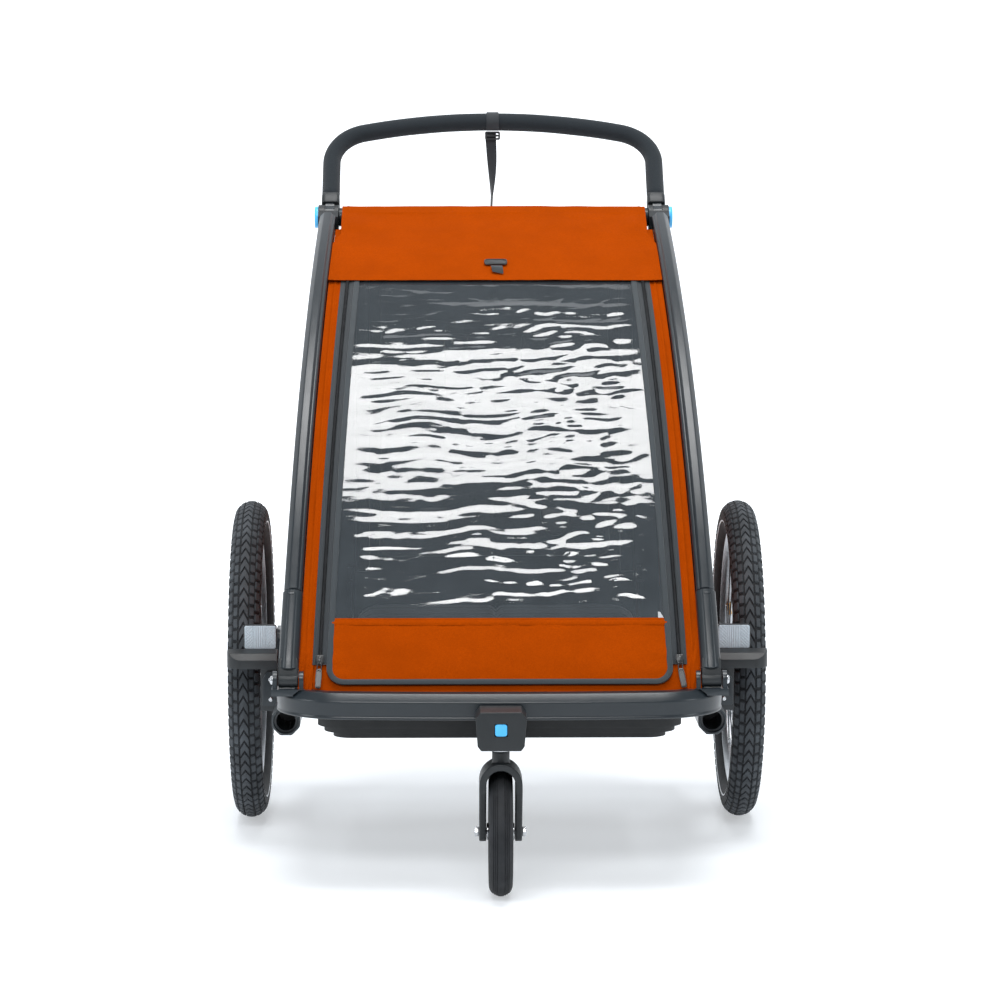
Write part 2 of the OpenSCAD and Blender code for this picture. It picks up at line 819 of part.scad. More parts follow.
module stub_axle(side) {
    start = plate_x + 1;
    color(silver) place() on_side(side) translate([start, 0, axle_z]) along_x() {
        cylinder(h = wheel_x + hub_out - start + 3, r = 6);
        translate([0, 0, wheel_x + hub_out - start + 1]) cylinder(h = 5, r = 13);
    }
}

// ---------------------------------------------------------------- nodes

front_bumper();
side_rail(-1);  // side_rail_left
side_rail(1);  // side_rail_right
rear_cross_tube();
axle_beam();
floor_tub();
boot_floor();
seat_cushion();
hinge_pins();
wheel_guard(-1);  // wheel_guard_left
wheel_guard(1);  // wheel_guard_right
reflector(-1);  // reflector_left
reflector(1);  // reflector_right
guard_screws();
caster_mount();
stub_axle(-1);  // stub_axle_left
stub_axle(1);  // stub_axle_right
brake_pedal();
brake_pin(-1);  // brake_pin_left
brake_pin(1);  // brake_pin_right
side_panel(-1);  // side_panel_left
side_panel(1);  // side_panel_right
rear_panel();
pillar(-1);  // pillar_left
pillar(1);  // pillar_right
pillar_sleeve(-1);  // pillar_sleeve_left
pillar_sleeve(1);  // pillar_sleeve_right
top_tube();
handle_joint(-1);  // handle_joint_left
handle_joint(1);  // handle_joint_right
hood();
front_window();
lower_flap();
cover_gussets();
zip_tape(-1);  // zip_tape_left
zip_tape(1);  // zip_tape_right
zip_slider(-1);  // zip_slider_left
zip_slider(1);  // zip_slider_right
rear_hoop();
seat_back();
harness();
handle_tube();
foam_grip();
wrist_strap();
handle_button(-1);  // handle_button_left
handle_button(1);  // handle_button_right
caster_button();
caster_stem();
caster_fork();
caster_axle();
caster_hub();
caster_tyre();
rear_tyre(-1);  // rear_tyre_left
rear_tyre(1);  // rear_tyre_right
rear_rim(-1);  // rear_rim_left
rear_rim(1);  // rear_rim_right
rear_spokes(-1);  // rear_spokes_left
rear_spokes(1);  // rear_spokes_right
rear_hub(-1);  // rear_hub_left
rear_hub(1);  // rear_hub_right
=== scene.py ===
"""Two-seat child bicycle trailer in its stroller setup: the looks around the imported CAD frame.

Sizes are millimetres. As in the part, lengths along Y are measured from the rear axle and
heights from the ground; mm() turns them into metres in the shared frame.
"""

import json
import math

import bmesh
import bpy
from mathutils import Matrix, Vector, noise

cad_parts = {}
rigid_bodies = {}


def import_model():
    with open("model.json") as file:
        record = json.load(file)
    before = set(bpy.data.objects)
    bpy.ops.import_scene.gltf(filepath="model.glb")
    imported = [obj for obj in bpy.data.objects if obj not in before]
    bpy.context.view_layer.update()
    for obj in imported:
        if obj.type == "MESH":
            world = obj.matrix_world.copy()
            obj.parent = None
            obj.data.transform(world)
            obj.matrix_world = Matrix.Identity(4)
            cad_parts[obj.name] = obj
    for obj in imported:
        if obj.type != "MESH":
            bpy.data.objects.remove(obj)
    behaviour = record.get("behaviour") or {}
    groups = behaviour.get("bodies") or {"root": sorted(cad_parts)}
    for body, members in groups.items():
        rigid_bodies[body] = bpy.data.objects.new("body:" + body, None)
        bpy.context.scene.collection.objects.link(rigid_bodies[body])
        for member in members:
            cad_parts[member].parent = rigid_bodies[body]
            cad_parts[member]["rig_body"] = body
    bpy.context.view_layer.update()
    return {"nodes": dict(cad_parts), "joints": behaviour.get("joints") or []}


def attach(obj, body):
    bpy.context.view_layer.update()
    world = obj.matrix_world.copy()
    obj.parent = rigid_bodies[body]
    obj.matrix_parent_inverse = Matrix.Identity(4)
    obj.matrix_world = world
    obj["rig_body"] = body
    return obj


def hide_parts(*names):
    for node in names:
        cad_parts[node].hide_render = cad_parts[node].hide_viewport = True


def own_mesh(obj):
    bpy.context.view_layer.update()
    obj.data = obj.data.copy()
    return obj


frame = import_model()
JOINTS = {j["name"]: j for j in frame["joints"]}

MM = 0.001
SHIFT = JOINTS["wheel_right_spin"]["pos_m"][1] / MM   # rear axle in the shared frame
SIDES = (-1, 1)
NAMES = {-1: "left", 1: "right"}


def mm(x, y, z):
    """A point given in millimetres from the rear axle and the ground, in metres."""
    return Vector((x * MM, (y + SHIFT) * MM, z * MM))


def joint_at(name):
    """A joint's place in millimetres, in the same measure as mm() takes."""
    x, y, z = JOINTS[name]["pos_m"]
    return x / MM, y / MM - SHIFT, z / MM


# ---------------------------------------------------------------- places shared with the part

LOW = joint_at("fold")[1:]                    # hinge of the front frame
TOP = joint_at("handle_tilt")[1:]             # handle joint
HOOP = joint_at("hoop_fold")[1:]              # pivot of the rear hoop
AXLE_Z = joint_at("wheel_right_spin")[2]
WHEEL_X = joint_at("wheel_right_spin")[0]
CASTER = joint_at("front_wheel_spin")[1:]

PILLAR_R = 1395
PILLAR_LOW = 303
PILLAR_TOP = 266
CURVE_TOP = (TOP[0] - 15, TOP[1] + 2)
CHORD = math.hypot(CURVE_TOP[0] - LOW[0], CURVE_TOP[1] - LOW[1])
CHORD_ANGLE = math.atan2(CURVE_TOP[1] - LOW[1], CURVE_TOP[0] - LOW[0])
DROP = math.sqrt(PILLAR_R ** 2 - CHORD ** 2 / 4)
CENTRE = (
    (LOW[0] + CURVE_TOP[0]) / 2 + DROP * math.sin(CHORD_ANGLE),
    (LOW[1] + CURVE_TOP[1]) / 2 - DROP * math.cos(CHORD_ANGLE),
)
TAPER = math.atan((PILLAR_LOW - PILLAR_TOP) / CHORD)
HALF_SWEEP = math.degrees(math.asin(CHORD / 2 / PILLAR_R))
CURVE_END = 90 + math.degrees(CHORD_ANGLE) + HALF_SWEEP
CURVE_START = CURVE_END - 2 * HALF_SWEEP
HOOD_HEM = 121.36
WINDOW_END = 148.65
SLEEVE_TOP = 146.85
SLEEVE_END = CURVE_END - 0.75
SLIDER_ANGLE = 151.2
COVER_END = CURVE_END + 0.35                  # lower edge of the flap, just behind the bumper
GUSSET_IN = 34
ZIP_IN = 54


def curve_point(angle, lift=0.0):
    """(y, z) on the pillars' curve at an angle in degrees, lifted outwards."""
    a = math.radians(angle)
    r = PILLAR_R + lift
    return CENTRE[0] + r * math.cos(a), CENTRE[1] + r * math.sin(a)


def pillar_x(y, z):
    """Half spacing of the pillars' centre lines at a height along their lean."""
    along = (y - LOW[0]) * math.cos(CHORD_ANGLE) + (z - LOW[1]) * math.sin(CHORD_ANGLE)
    return PILLAR_LOW - along * math.tan(TAPER)


ALONG_X = Matrix(((0, 0, 1, 0), (1, 0, 0, 0), (0, 1, 0, 0), (0, 0, 0, 1)))


def at(x, y, z):
    return Matrix.Translation((x, y, z))


def turned(degrees, axis):
    return Matrix.Rotation(math.radians(degrees), 4, axis)


def mirrored(side):
    """Leaves the right side as it is and mirrors the left."""
    return Matrix.Diagonal((side, 1, 1, 1))


def pillar_frame(side):
    """Frame of a leaned pillar: X is the radius at angle 0, Z points outwards, in millimetres."""
    lean = Matrix.Rotation(TAPER, 4, Vector((0, -math.sin(CHORD_ANGLE), math.cos(CHORD_ANGLE))))
    place = at(PILLAR_LOW, LOW[0], LOW[1])
    back = at(0, CENTRE[0] - LOW[0], CENTRE[1] - LOW[1])
    return mirrored(side) @ place @ lean @ back @ ALONG_X


def hoop_frame():
    """Frame of the rear hoop: Y runs down its legs from the pivot, Z points to the front."""
    foot = (30, 385)
    lean = math.atan2(foot[1] - HOOP[1], foot[0] - HOOP[0])
    return at(0, HOOP[0], HOOP[1]) @ Matrix.Rotation(lean, 4, "X")


def handle_frame():
    """Frame of the handle: Y runs up its legs from the joint, in millimetres."""
    return at(0, TOP[0], TOP[1]) @ turned(46, "X")


# ---------------------------------------------------------------- materials

def srgb(r, g, b):
    """Linear colour of an 8 bit one."""
    def channel(v):
        v = v / 255
        return v / 12.92 if v <= 0.04045 else ((v + 0.055) / 1.055) ** 2.4
    return channel(r), channel(g), channel(b), 1.0


def tinted(colour, gain, lift=0.0):
    """A colour made darker or lighter."""
    return tuple(min(1.0, c * gain + lift) for c in colour[:3]) + (1.0,)


class Look:
    """Builds one node material; patterns are in object space, in metres."""

    def __init__(self, name, rough=0.5, metallic=0.0, **sockets):
        self.mat = bpy.data.materials.new(name)
        self.mat.use_nodes = True
        self.nodes = self.mat.node_tree.nodes
        self.links = self.mat.node_tree.links
        self.shader = self.nodes["Principled BSDF"]
        self.shader.inputs["Roughness"].default_value = rough
        self.shader.inputs["Metallic"].default_value = metallic
        for key, value in sockets.items():
            self.shader.inputs[key.replace("_", " ")].default_value = value
        self.coord = self.nodes.new("ShaderNodeTexCoord").outputs["Object"]
        self.normal = None

    def stretched(self, stretch):
        if stretch is None:
            return self.coord
        node = self.nodes.new("ShaderNodeMapping")
        node.inputs["Scale"].default_value = stretch
        self.links.new(self.coord, node.inputs["Vector"])
        return node.outputs["Vector"]

    def noise(self, scale, detail=3.0, stretch=None):
        node = self.nodes.new("ShaderNodeTexNoise")
        node.inputs["Scale"].default_value = scale
        node.inputs["Detail"].default_value = detail
        node.inputs["Roughness"].default_value = 0.55
        self.links.new(self.stretched(stretch), node.inputs["Vector"])
        return node.outputs["Fac"]

    def cells(self, scale):
        node = self.nodes.new("ShaderNodeTexVoronoi")
        node.inputs["Scale"].default_value = scale
        self.links.new(self.coord, node.inputs["Vector"])
        return node.outputs["Distance"]

    def bands(self, pitch, direction):
        """Stripes with a pitch in millimetres across an axis."""
        node = self.nodes.new("ShaderNodeTexWave")
        node.bands_direction = direction
        node.inputs["Scale"].default_value = math.pi / 10 / (pitch * MM)
        self.links.new(self.coord, node.inputs["Vector"])
        return node.outputs["Fac"]

    def maths(self, operation, a, b):
        node = self.nodes.new("ShaderNodeMath")
        node.operation = operation
        for socket, value in zip(node.inputs, (a, b)):
            if isinstance(value, (int, float)):
                socket.default_value = value
            else:
                self.links.new(value, socket)
        return node.outputs[0]

    def ramp(self, fac, low, high):
        """Black up to low, white from high on."""
        node = self.nodes.new("ShaderNodeValToRGB")
        node.color_ramp.elements[0].position = low
        node.color_ramp.elements[1].position = high
        self.links.new(fac, node.inputs["Fac"])
        return node.outputs["Color"]

    def mix(self, fac, a, b):
        node = self.nodes.new("ShaderNodeMix")
        node.data_type = "RGBA"
        for index, value in ((0, fac), (6, a), (7, b)):
            if isinstance(value, (int, float, tuple)):
                node.inputs[index].default_value = value
            else:
                self.links.new(value, node.inputs[index])
        return node.outputs[2]

    def edges(self):
        """White on convex edges, where paint and plastic wear."""
        geometry = self.nodes.new("ShaderNodeNewGeometry")
        return self.ramp(geometry.outputs["Pointiness"], 0.52, 0.6)

    def colour(self, socket):
        self.links.new(socket, self.shader.inputs["Base Color"])
        return self

    def roughness(self, fac, low, high):
        node = self.nodes.new("ShaderNodeMapRange")
        node.inputs["To Min"].default_value = low
        node.inputs["To Max"].default_value = high
        self.links.new(fac, node.inputs["Value"])
        self.links.new(node.outputs["Result"], self.shader.inputs["Roughness"])
        return self

    def bump(self, height, depth, strength=1.0):
        """Adds relief of a depth in millimetres."""
        node = self.nodes.new("ShaderNodeBump")
        node.inputs["Distance"].default_value = depth * MM
        node.inputs["Strength"].default_value = strength
        self.links.new(height, node.inputs["Height"])
        if self.normal is not None:
            self.links.new(self.normal, node.inputs["Normal"])
        self.normal = node.outputs["Normal"]
        self.links.new(self.normal, self.shader.inputs["Normal"])
        return self


def moulded(name, colour, rough, grain=0.05, worn=0.35):
    """Nylon or powder coat: even colour, fine grain, edges rubbed lighter."""
    look = Look(name, rough, Specular_IOR_Level=0.5)
    light = tinted(colour, 1.9, 0.01)
    cloudy = look.mix(look.ramp(look.noise(9, 4), 0.3, 0.75), colour, tinted(colour, 1.22))
    rubbed = look.maths("MULTIPLY", look.edges(), look.maths("MULTIPLY", look.noise(60, 4), worn * 2))
    look.colour(look.mix(rubbed, cloudy, light))
    look.roughness(look.noise(40, 4), rough - 0.07, rough + 0.09)
    look.bump(look.noise(1500, 2), grain)
    look.bump(look.noise(260, 3), grain * 0.8, 0.5)
    return look.mat


def woven(name, colour, thread=0.9, mottle=0.16, rough=0.82, sheen=0.25, shine=0.25):
    """Plain-weave canvas with heathered threads."""
    look = Look(name, rough, Sheen_Weight=sheen, Sheen_Roughness=0.5, Specular_IOR_Level=shine)
    dark = tinted(colour, 1 - 2.2 * mottle)
    light = tinted(colour, 1 + mottle)
    across = look.noise(1300, 3, (0.22, 1, 1))
    down = look.noise(1300, 3, (1, 0.3, 0.22))
    heather = look.maths("ADD", look.maths("MULTIPLY", across, 0.5), look.maths("MULTIPLY", down, 0.5))
    cloth = look.mix(look.ramp(heather, 0.3, 0.68), dark, light)
    faded = look.mix(look.maths("MULTIPLY", look.ramp(look.noise(16, 5), 0.35, 0.72), 0.5), cloth, dark)
    look.colour(faded)
    weave = look.maths("MULTIPLY", look.bands(thread, "X"), look.bands(thread, "Z"))
    weave = look.maths("ADD", weave, look.maths("MULTIPLY", look.bands(thread, "Y"), 0.4))
    look.bump(weave, 0.12, 0.5)
    look.bump(look.noise(420, 3), 0.25, 0.5)
    return look.mat


def webbing(name, colour, rough=0.7):
    """Narrow woven tape with ribs along its length."""
    look = Look(name, rough, Sheen_Weight=0.2, Sheen_Roughness=0.5, Specular_IOR_Level=0.3)
    ribs = look.bands(1.7, "X")
    light = tinted(colour, 1.7, 0.004)
    look.colour(look.mix(look.maths("MULTIPLY", ribs, look.noise(700, 3)), colour, light))
    look.bump(ribs, 0.3, 0.7)
    look.bump(look.bands(1.1, "Z"), 0.15, 0.5)
    look.bump(look.noise(900, 3), 0.1, 0.5)
    return look.mat


def metal(name, colour, rough, brushed=None):
    """Bare metal, brushed along the stretched axes of its streaks."""
    look = Look(name, rough, 1.0)
    streaks = look.noise(500, 4, brushed or (1, 1, 1))
    dark = tinted(colour, 0.8)
    look.colour(look.mix(look.ramp(streaks, 0.35, 0.7), dark, colour))
    look.roughness(look.noise(120, 4), rough - 0.06, rough + 0.12)
    look.bump(streaks, 0.02, 0.6)
    return look.mat


def rubber(name, colour, rough=0.72):
    """Dull rubber with dust in patches."""
    look = Look(name, rough, Specular_IOR_Level=0.35)
    dusty = tinted(colour, 1.9, 0.006)
    look.colour(look.mix(look.ramp(look.noise(26, 5), 0.42, 0.8), colour, dusty))
    look.roughness(look.noise(80, 4), rough - 0.1, rough + 0.12)
    look.bump(look.noise(900, 3), 0.12, 0.6)
    return look.mat


def foam_look():
    """Closed-cell foam."""
    look = Look("foam", 0.92, Sheen_Weight=0.08, Sheen_Roughness=0.6, Specular_IOR_Level=0.15)
    look.colour(look.mix(look.ramp(look.noise(1400, 4), 0.3, 0.7), srgb(27, 32, 36), srgb(38, 44, 49)))
    look.bump(look.cells(1100), 0.35, 0.7)
    look.bump(look.noise(300, 4), 0.3, 0.5)
    return look.mat


def film_look():
    """Clear film with a grey tint, scuffed in fine lines."""
    look = Look("window_film", 0.04, Specular_IOR_Level=0.6, IOR=1.62, Alpha=0.6,
                Coat_Weight=1.0, Coat_Roughness=0.04, Coat_IOR=1.7)
    look.colour(look.mix(look.noise(30, 3), srgb(50, 57, 62), srgb(72, 80, 86)))
    look.roughness(look.noise(160, 4, (0.2, 1, 1)), 0.02, 0.07)
    look.bump(look.noise(240, 3, (0.25, 1, 1)), 0.25, 0.5)
    return look.mat


def mesh_look():
    """Dark knitted ventilation mesh."""
    look = Look("vent_mesh", 0.8, Sheen_Weight=0.2, Specular_IOR_Level=0.3)
    holes = look.ramp(look.cells(420), 0.25, 0.45)
    look.colour(look.mix(holes, srgb(14, 15, 17), srgb(52, 56, 60)))
    look.bump(holes, 0.4, 0.7)
    return look.mat


def reflector_glow_look():
    """Faces of the reflector's prisms, painted light, with a faint painted glow."""
    # painted glow: a faint bluish-white emission stands in for light thrown back by the prisms
    look = Look("reflector_prisms_painted_glow", 0.2, 0.0, Specular_IOR_Level=0.5, Emission_Strength=0.05)
    look.shader.inputs["Emission Color"].default_value = (0.86, 0.94, 1.0, 1)
    look.colour(look.mix(look.noise(500, 2), srgb(160, 176, 187), srgb(188, 202, 211)))
    look.bump(look.cells(900), 0.3, 0.6)
    return look.mat


def reflector_valley():
    """Painted shade: a darker grey for the lens faces that lie deep between the reflector's prisms."""
    look = Look("reflector_valleys_painted_shade", 0.3, Specular_IOR_Level=0.5)
    look.colour(look.mix(look.noise(500, 2), srgb(92, 104, 113), srgb(112, 124, 133)))
    look.bump(look.noise(900, 2), 0.1, 0.5)
    return look.mat


def plastic(name, colour, rough=0.35):
    """Smooth moulded plastic."""
    look = Look(name, rough, Specular_IOR_Level=0.5, Coat_Weight=0.2, Coat_Roughness=0.3)
    pale = tinted(colour, 1.25, 0.01)
    look.colour(look.mix(look.ramp(look.noise(45, 4), 0.3, 0.8), colour, pale))
    look.roughness(look.noise(90, 4), rough - 0.06, rough + 0.1)
    look.bump(look.noise(1800, 2), 0.03)
    return look.mat


GRAPHITE = srgb(26, 33, 38)
M = {
    "frame": moulded("frame_coat", GRAPHITE, 0.3),
    "moulding": moulded("dark_nylon", srgb(20, 25, 28), 0.46, 0.08),
    "tub": moulded("tub_plastic", srgb(11, 14, 16), 0.6, 0.12, 0.1),
    "canvas": woven("orange_canvas", (0.355, 0.048, 0.0002, 1.0), 0.9, 0.13, 0.9, 0.0, 0.02),
    "lining": woven("dark_lining", srgb(54, 58, 62), 1.1, 0.2),
    "pad": woven("seat_fabric", srgb(50, 54, 58), 1.3, 0.22, 0.85, 0.35),
    "binding": webbing("grey_binding", srgb(44, 50, 54)),
    "webbing": webbing("black_webbing", srgb(36, 40, 44)),
    "window": film_look(),
    "mesh": mesh_look(),
    "zip": webbing("zip_tape_weave", srgb(36, 41, 45), 0.65),
    "coil": plastic("zip_coil_nylon", srgb(20, 22, 25), 0.4),
    "slider": plastic("slider_black", srgb(20, 22, 24), 0.34),
    "foam": foam_look(),
    "button": plastic("button_blue", (0.055, 0.42, 0.82, 1.0), 0.3),
    "steel": metal("bright_steel", srgb(205, 207, 210), 0.2),
    "rim": metal("rim_alloy", srgb(196, 199, 203), 0.32, (0.05, 1, 1)),
    "spoke": metal("spoke_black", srgb(84, 88, 92), 0.3),
    "brass": metal("valve_brass", srgb(196, 150, 80), 0.28),
    "tyre": rubber("tyre_rubber", srgb(24, 26, 29)),
    "stripe": plastic("reflective_line", srgb(176, 182, 186), 0.3),
    # lighter rubber for the raised tread faces: painted light on the block tops, painted shade in the grooves
    "tread": rubber("tread_tops_painted_light", srgb(54, 58, 62)),
    # the reflector's prism faces get painted light and a faint painted glow, the faces between them painted
    # shade
    "prism": reflector_glow_look(),
    "valley": reflector_valley(),
}


# ---------------------------------------------------------------- mesh tools

def settle(obj, look, body, smooth=38, replaces=()):
    """Gives a piece its material, shading and body, and hides the CAD nodes it stands for."""
    if look is not None:
        obj.data.materials.clear()
        obj.data.materials.append(M[look])
    obj.data.shade_smooth()
    obj.data.set_sharp_from_angle(angle=math.radians(smooth))
    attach(obj, body)
    if replaces:
        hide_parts(*replaces)
    return obj


def link(name, verts, faces, closed=True):
    """A new object from points in millimetres, measured as mm() takes them."""
    mesh = bpy.data.meshes.new(name)
    mesh.from_pydata([mm(*v) for v in verts], [], faces)
    work = bmesh.new()
    work.from_mesh(mesh)
    bmesh.ops.remove_doubles(work, verts=work.verts, dist=1e-6)
    if closed:
        bmesh.ops.recalc_face_normals(work, faces=work.faces)
    work.to_mesh(mesh)
    work.free()
    obj = bpy.data.objects.new(name, mesh)
    bpy.context.scene.collection.objects.link(obj)
    return obj


def piece(name, part, look, body, smooth=38, replaces=()):
    """A finished piece from (verts, faces)."""
    return settle(link(name, *part), look, body, smooth, replaces)


def merge(parts):
    """Joins (verts, faces) lists into one."""
    verts = []
    faces = []
    for part_verts, part_faces in parts:
        start = len(verts)
        verts += part_verts
        faces += [tuple(i + start for i in face) for face in part_faces]
    return verts, faces


def rings(outlines, closed=False, caps=True):
    """Skin over closed outlines that have the same number of points."""
    count = len(outlines[0])
    verts = [p for ring in outlines for p in ring]
    faces = []
    spans = len(outlines) if closed else len(outlines) - 1
    for i in range(spans):
        a = i * count
        b = (i + 1) % len(outlines) * count
        for k in range(count):
            n = (k + 1) % count
            faces.append((a + k, a + n, b + n, b + k))
    if caps and not closed:
        faces.append(tuple(range(count)))
        faces.append(tuple(range(len(verts) - count, len(verts))))
    return verts, faces


def moved(part, matrix):
    verts, faces = part
    return [tuple(matrix @ Vector(v)) for v in verts], faces


def arc(cx, cy, r, start, end, steps):
    """Points of an arc, angles in degrees."""
    return [
        (cx + r * math.cos(math.radians(start + (end - start) * i / steps)),
         cy + r * math.sin(math.radians(start + (end - start) * i / steps)))
        for i in range(steps + 1)
    ]


def fillet(points, radius, steps=3):
    """A closed outline with its corners rounded."""
    out = []
    count = len(points)
    for i, p in enumerate(points):
        p = Vector(p)
        a = Vector(points[i - 1]) - p
        b = Vector(points[(i + 1) % count]) - p
        r = min(radius, 0.45 * a.length, 0.45 * b.length)
        start = p + a.normalized() * r
        end = p + b.normalized() * r
        for k in range(steps + 1):
            t = k / steps
            q = start * (1 - t) ** 2 + p * 2 * t * (1 - t) + end * t * t
            out.append((q.x, q.y))
    return out


def rounded(a, b, radius, steps=3):
    """A rectangle of half sizes a and b with rounded corners."""
    return fillet([(-a, -b), (a, -b), (a, b), (-a, b)], radius, steps)


def cut_rectangle(w, h, cut):
    """Section with cut corners, as in the part."""
    return [
        (-w / 2 + cut, -h / 2), (w / 2 - cut, -h / 2), (w / 2, -h / 2 + cut), (w / 2, h / 2 - cut),
        (w / 2 - cut, h / 2), (-w / 2 + cut, h / 2), (-w / 2, h / 2 - cut), (-w / 2, -h / 2 + cut),
    ]


def disc(r, count=32):
    return [(r * math.cos(2 * math.pi * i / count), r * math.sin(2 * math.pi * i / count))
            for i in range(count)]


def scaled(outline, inset):
    """An outline drawn in towards its middle by about an inset."""
    size = max(max(abs(x), abs(y)) for x, y in outline)
    k = (size - inset) / size
    return [(x * k, y * k) for x, y in outline]


def bar(outline, stations, bevel=1.5):
    """Sweeps an outline along a list of frames, with softly bevelled ends."""
    skin = []
    first = stations[0]
    last = stations[-1]
    lead = Matrix.Translation((stations[1].translation - first.translation).normalized() * bevel)
    tail = Matrix.Translation((stations[-2].translation - last.translation).normalized() * bevel)
    skin.append([tuple(first @ Vector((x, y, 0))) for x, y in scaled(outline, bevel)])
    skin.append([tuple(lead @ first @ Vector((x, y, 0))) for x, y in outline])
    for station in stations[1:-1]:
        skin.append([tuple(station @ Vector((x, y, 0))) for x, y in outline])
    skin.append([tuple(tail @ last @ Vector((x, y, 0))) for x, y in outline])
    skin.append([tuple(last @ Vector((x, y, 0))) for x, y in scaled(outline, bevel)])
    return rings(skin)


def stack(levels):
    """Skin over (outline, height) levels."""
    return rings([[(x, y, z) for x, y in shape] for shape, z in levels])


def prism(outline, depth, bevel=1.0):
    """An outline pushed along Z from 0 to depth, with both edges bevelled."""
    levels = ((0, bevel), (bevel * 0.4, bevel * 0.25), (bevel, 0),
              (depth - bevel, 0), (depth - bevel * 0.4, bevel * 0.25), (depth, bevel))
    return stack([(scaled(outline, inset), z) for z, inset in levels])


def revolve(profile, segments):
    """Turns a closed outline of (radius, height) about Z."""
    skin = []
    for i in range(segments):
        a = 2 * math.pi * i / segments
        skin.append([(r * math.cos(a), r * math.sin(a), z) for r, z in profile])
    return rings(skin, closed=True)


def axis_x(x, y, z, side=1):
    """Frame with Z along X at a point, mirrored on the left."""
    return mirrored(side) @ at(x, y, z) @ ALONG_X


def sheet_mesh(name, columns, rows, point, thick=0.8):
    """Cloth surface from point(u, v) with u and v from 0 to 1, and a thickness in millimetres."""
    verts = []
    for j in range(rows + 1):
        for i in range(columns + 1):
            verts.append(point(i / columns, j / rows))
    wide = columns + 1
    faces = []
    for j in range(rows):
        for i in range(columns):
            a = j * wide + i
            faces.append((a, a + 1, a + wide + 1, a + wide))
    obj = link(name, verts, faces, closed=False)
    if thick:
        thicken(obj, thick)
    return obj


def thicken(obj, thick, offset=0.0):
    solid = obj.modifiers.new("thick", "SOLIDIFY")
    solid.thickness = thick * MM
    solid.offset = offset
    apply_all(obj)


def apply_all(obj):
    """Replaces the mesh by the result of its modifiers."""
    shown = bpy.context.evaluated_depsgraph_get()
    result = bpy.data.meshes.new_from_object(obj.evaluated_get(shown))
    obj.modifiers.clear()
    obj.data = result
    bpy.context.view_layer.update()


def softened(node, width, look, segments=2, angle=28, name=None):
    """A CAD node's shape with its edges rounded, as a piece that stands for it."""
    source = frame["nodes"][node]
    mesh = source.data.copy()
    work = bmesh.new()
    work.from_mesh(mesh)
    bmesh.ops.remove_doubles(work, verts=work.verts, dist=2e-5)
    bmesh.ops.dissolve_limit(work, verts=work.verts, edges=work.edges, angle_limit=math.radians(0.6))
    sharp = [e for e in work.edges if len(e.link_faces) == 2 and e.calc_face_angle() > math.radians(angle)]
    bmesh.ops.bevel(work, geom=sharp, offset=width * MM, segments=segments, profile=0.6,
                    affect="EDGES", clamp_overlap=True)
    work.to_mesh(mesh)
    work.free()
    obj = bpy.data.objects.new(name or node + "_finish", mesh)
    bpy.context.scene.collection.objects.link(obj)
    return settle(obj, look, source["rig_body"], 40, [node])


def remeshed(node, voxel, look, passes=6):
    """A CAD node's shape as one smooth moulding, its edges rounded by the same amount all over."""
    source = frame["nodes"][node]
    obj = bpy.data.objects.new(node + "_finish", source.data.copy())
    bpy.context.scene.collection.objects.link(obj)
    remesh = obj.modifiers.new("skin", "REMESH")
    remesh.mode = "VOXEL"
    remesh.voxel_size = voxel * MM
    smooth = obj.modifiers.new("smooth", "SMOOTH")
    smooth.iterations = passes
    smooth.factor = 0.5
    apply_all(obj)
    return settle(obj, look, source["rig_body"], 60, [node])


def wavy(x, y, z):
    """Smooth noise from -1 to 1."""
    return noise.noise(Vector((x, y, z)))


def ripple(x, y, z, scale, seed=0.0):
    """The same with a scale in millimetres."""
    return wavy(x / scale + seed, y / scale, z / scale)


# ---------------------------------------------------------------- base frame

BUMPER_Z = 269
BUMPER_D = 30
BOW_R = 2600
BOW_Y = -600 + BUMPER_D / 2 + BOW_R
CORNER_R = 90
LEG_X = 308
CORNER_X = LEG_X - CORNER_R
CORNER_Y = BOW_Y - math.sqrt((BOW_R - CORNER_R) ** 2 - CORNER_X ** 2)
BOW_HALF = math.degrees(math.asin(CORNER_X / (BOW_R - CORNER_R)))


def bumper():
    """Bowed bar with tight corners, a flat top facet and a thin lower lip."""
    section = fillet([(-15, -17), (-13, -19), (10, -19), (14, -18), (14.4, -15.6), (13.2, -13.6),
                      (15, 7), (5, 18.6), (-12, 19), (-15, 16)], 1.8, 3)
    stops = []
    for k in range(5):
        stops.append((LEG_X, CORNER_Y + 60 * (1 - k / 4), 0))
    for x, y in arc(CORNER_X, CORNER_Y, CORNER_R, -6, -90 + BOW_HALF, 14):
        stops.append((x, y, math.degrees(math.atan2(y - CORNER_Y, x - CORNER_X))))
    for x, y in arc(0, BOW_Y, BOW_R, 270 + BOW_HALF - 0.25, 270, 14):
        stops.append((x, y, math.degrees(math.atan2(y - BOW_Y, x))))
    left = [(-x, y, 180 - a) for x, y, a in stops[:-1]]
    skin = []
    for x, y, a in stops + left[::-1]:
        c = math.cos(math.radians(a))
        s = math.sin(math.radians(a))
        skin.append([(x + u * c, y + u * s, BUMPER_Z + v) for u, v in section])
    piece("bumper_bar", rings(skin), "frame", "base", 30)
    ears = softened("front_bumper", 0.8, "frame", name="bumper_hinge_ears")
    front = mm(0, -556.5, 278.5)
    back = mm(0, -519.5, 288.4)

    def on_plate(c):
        return 0.2788 < abs(c.x) < 0.3272 and front.y < c.y < back.y and c.z > front.z

    keep_part(ears, lambda c: c.z > back.z or on_plate(c))


def keep_part(obj, wanted):
    """Deletes the faces whose middle isn't wanted."""
    work = bmesh.new()
    work.from_mesh(obj.data)
    gone = [f for f in work.faces if not wanted(f.calc_center_median())]
    bmesh.ops.delete(work, geom=gone, context="FACES")
    work.to_mesh(obj.data)
    work.free()


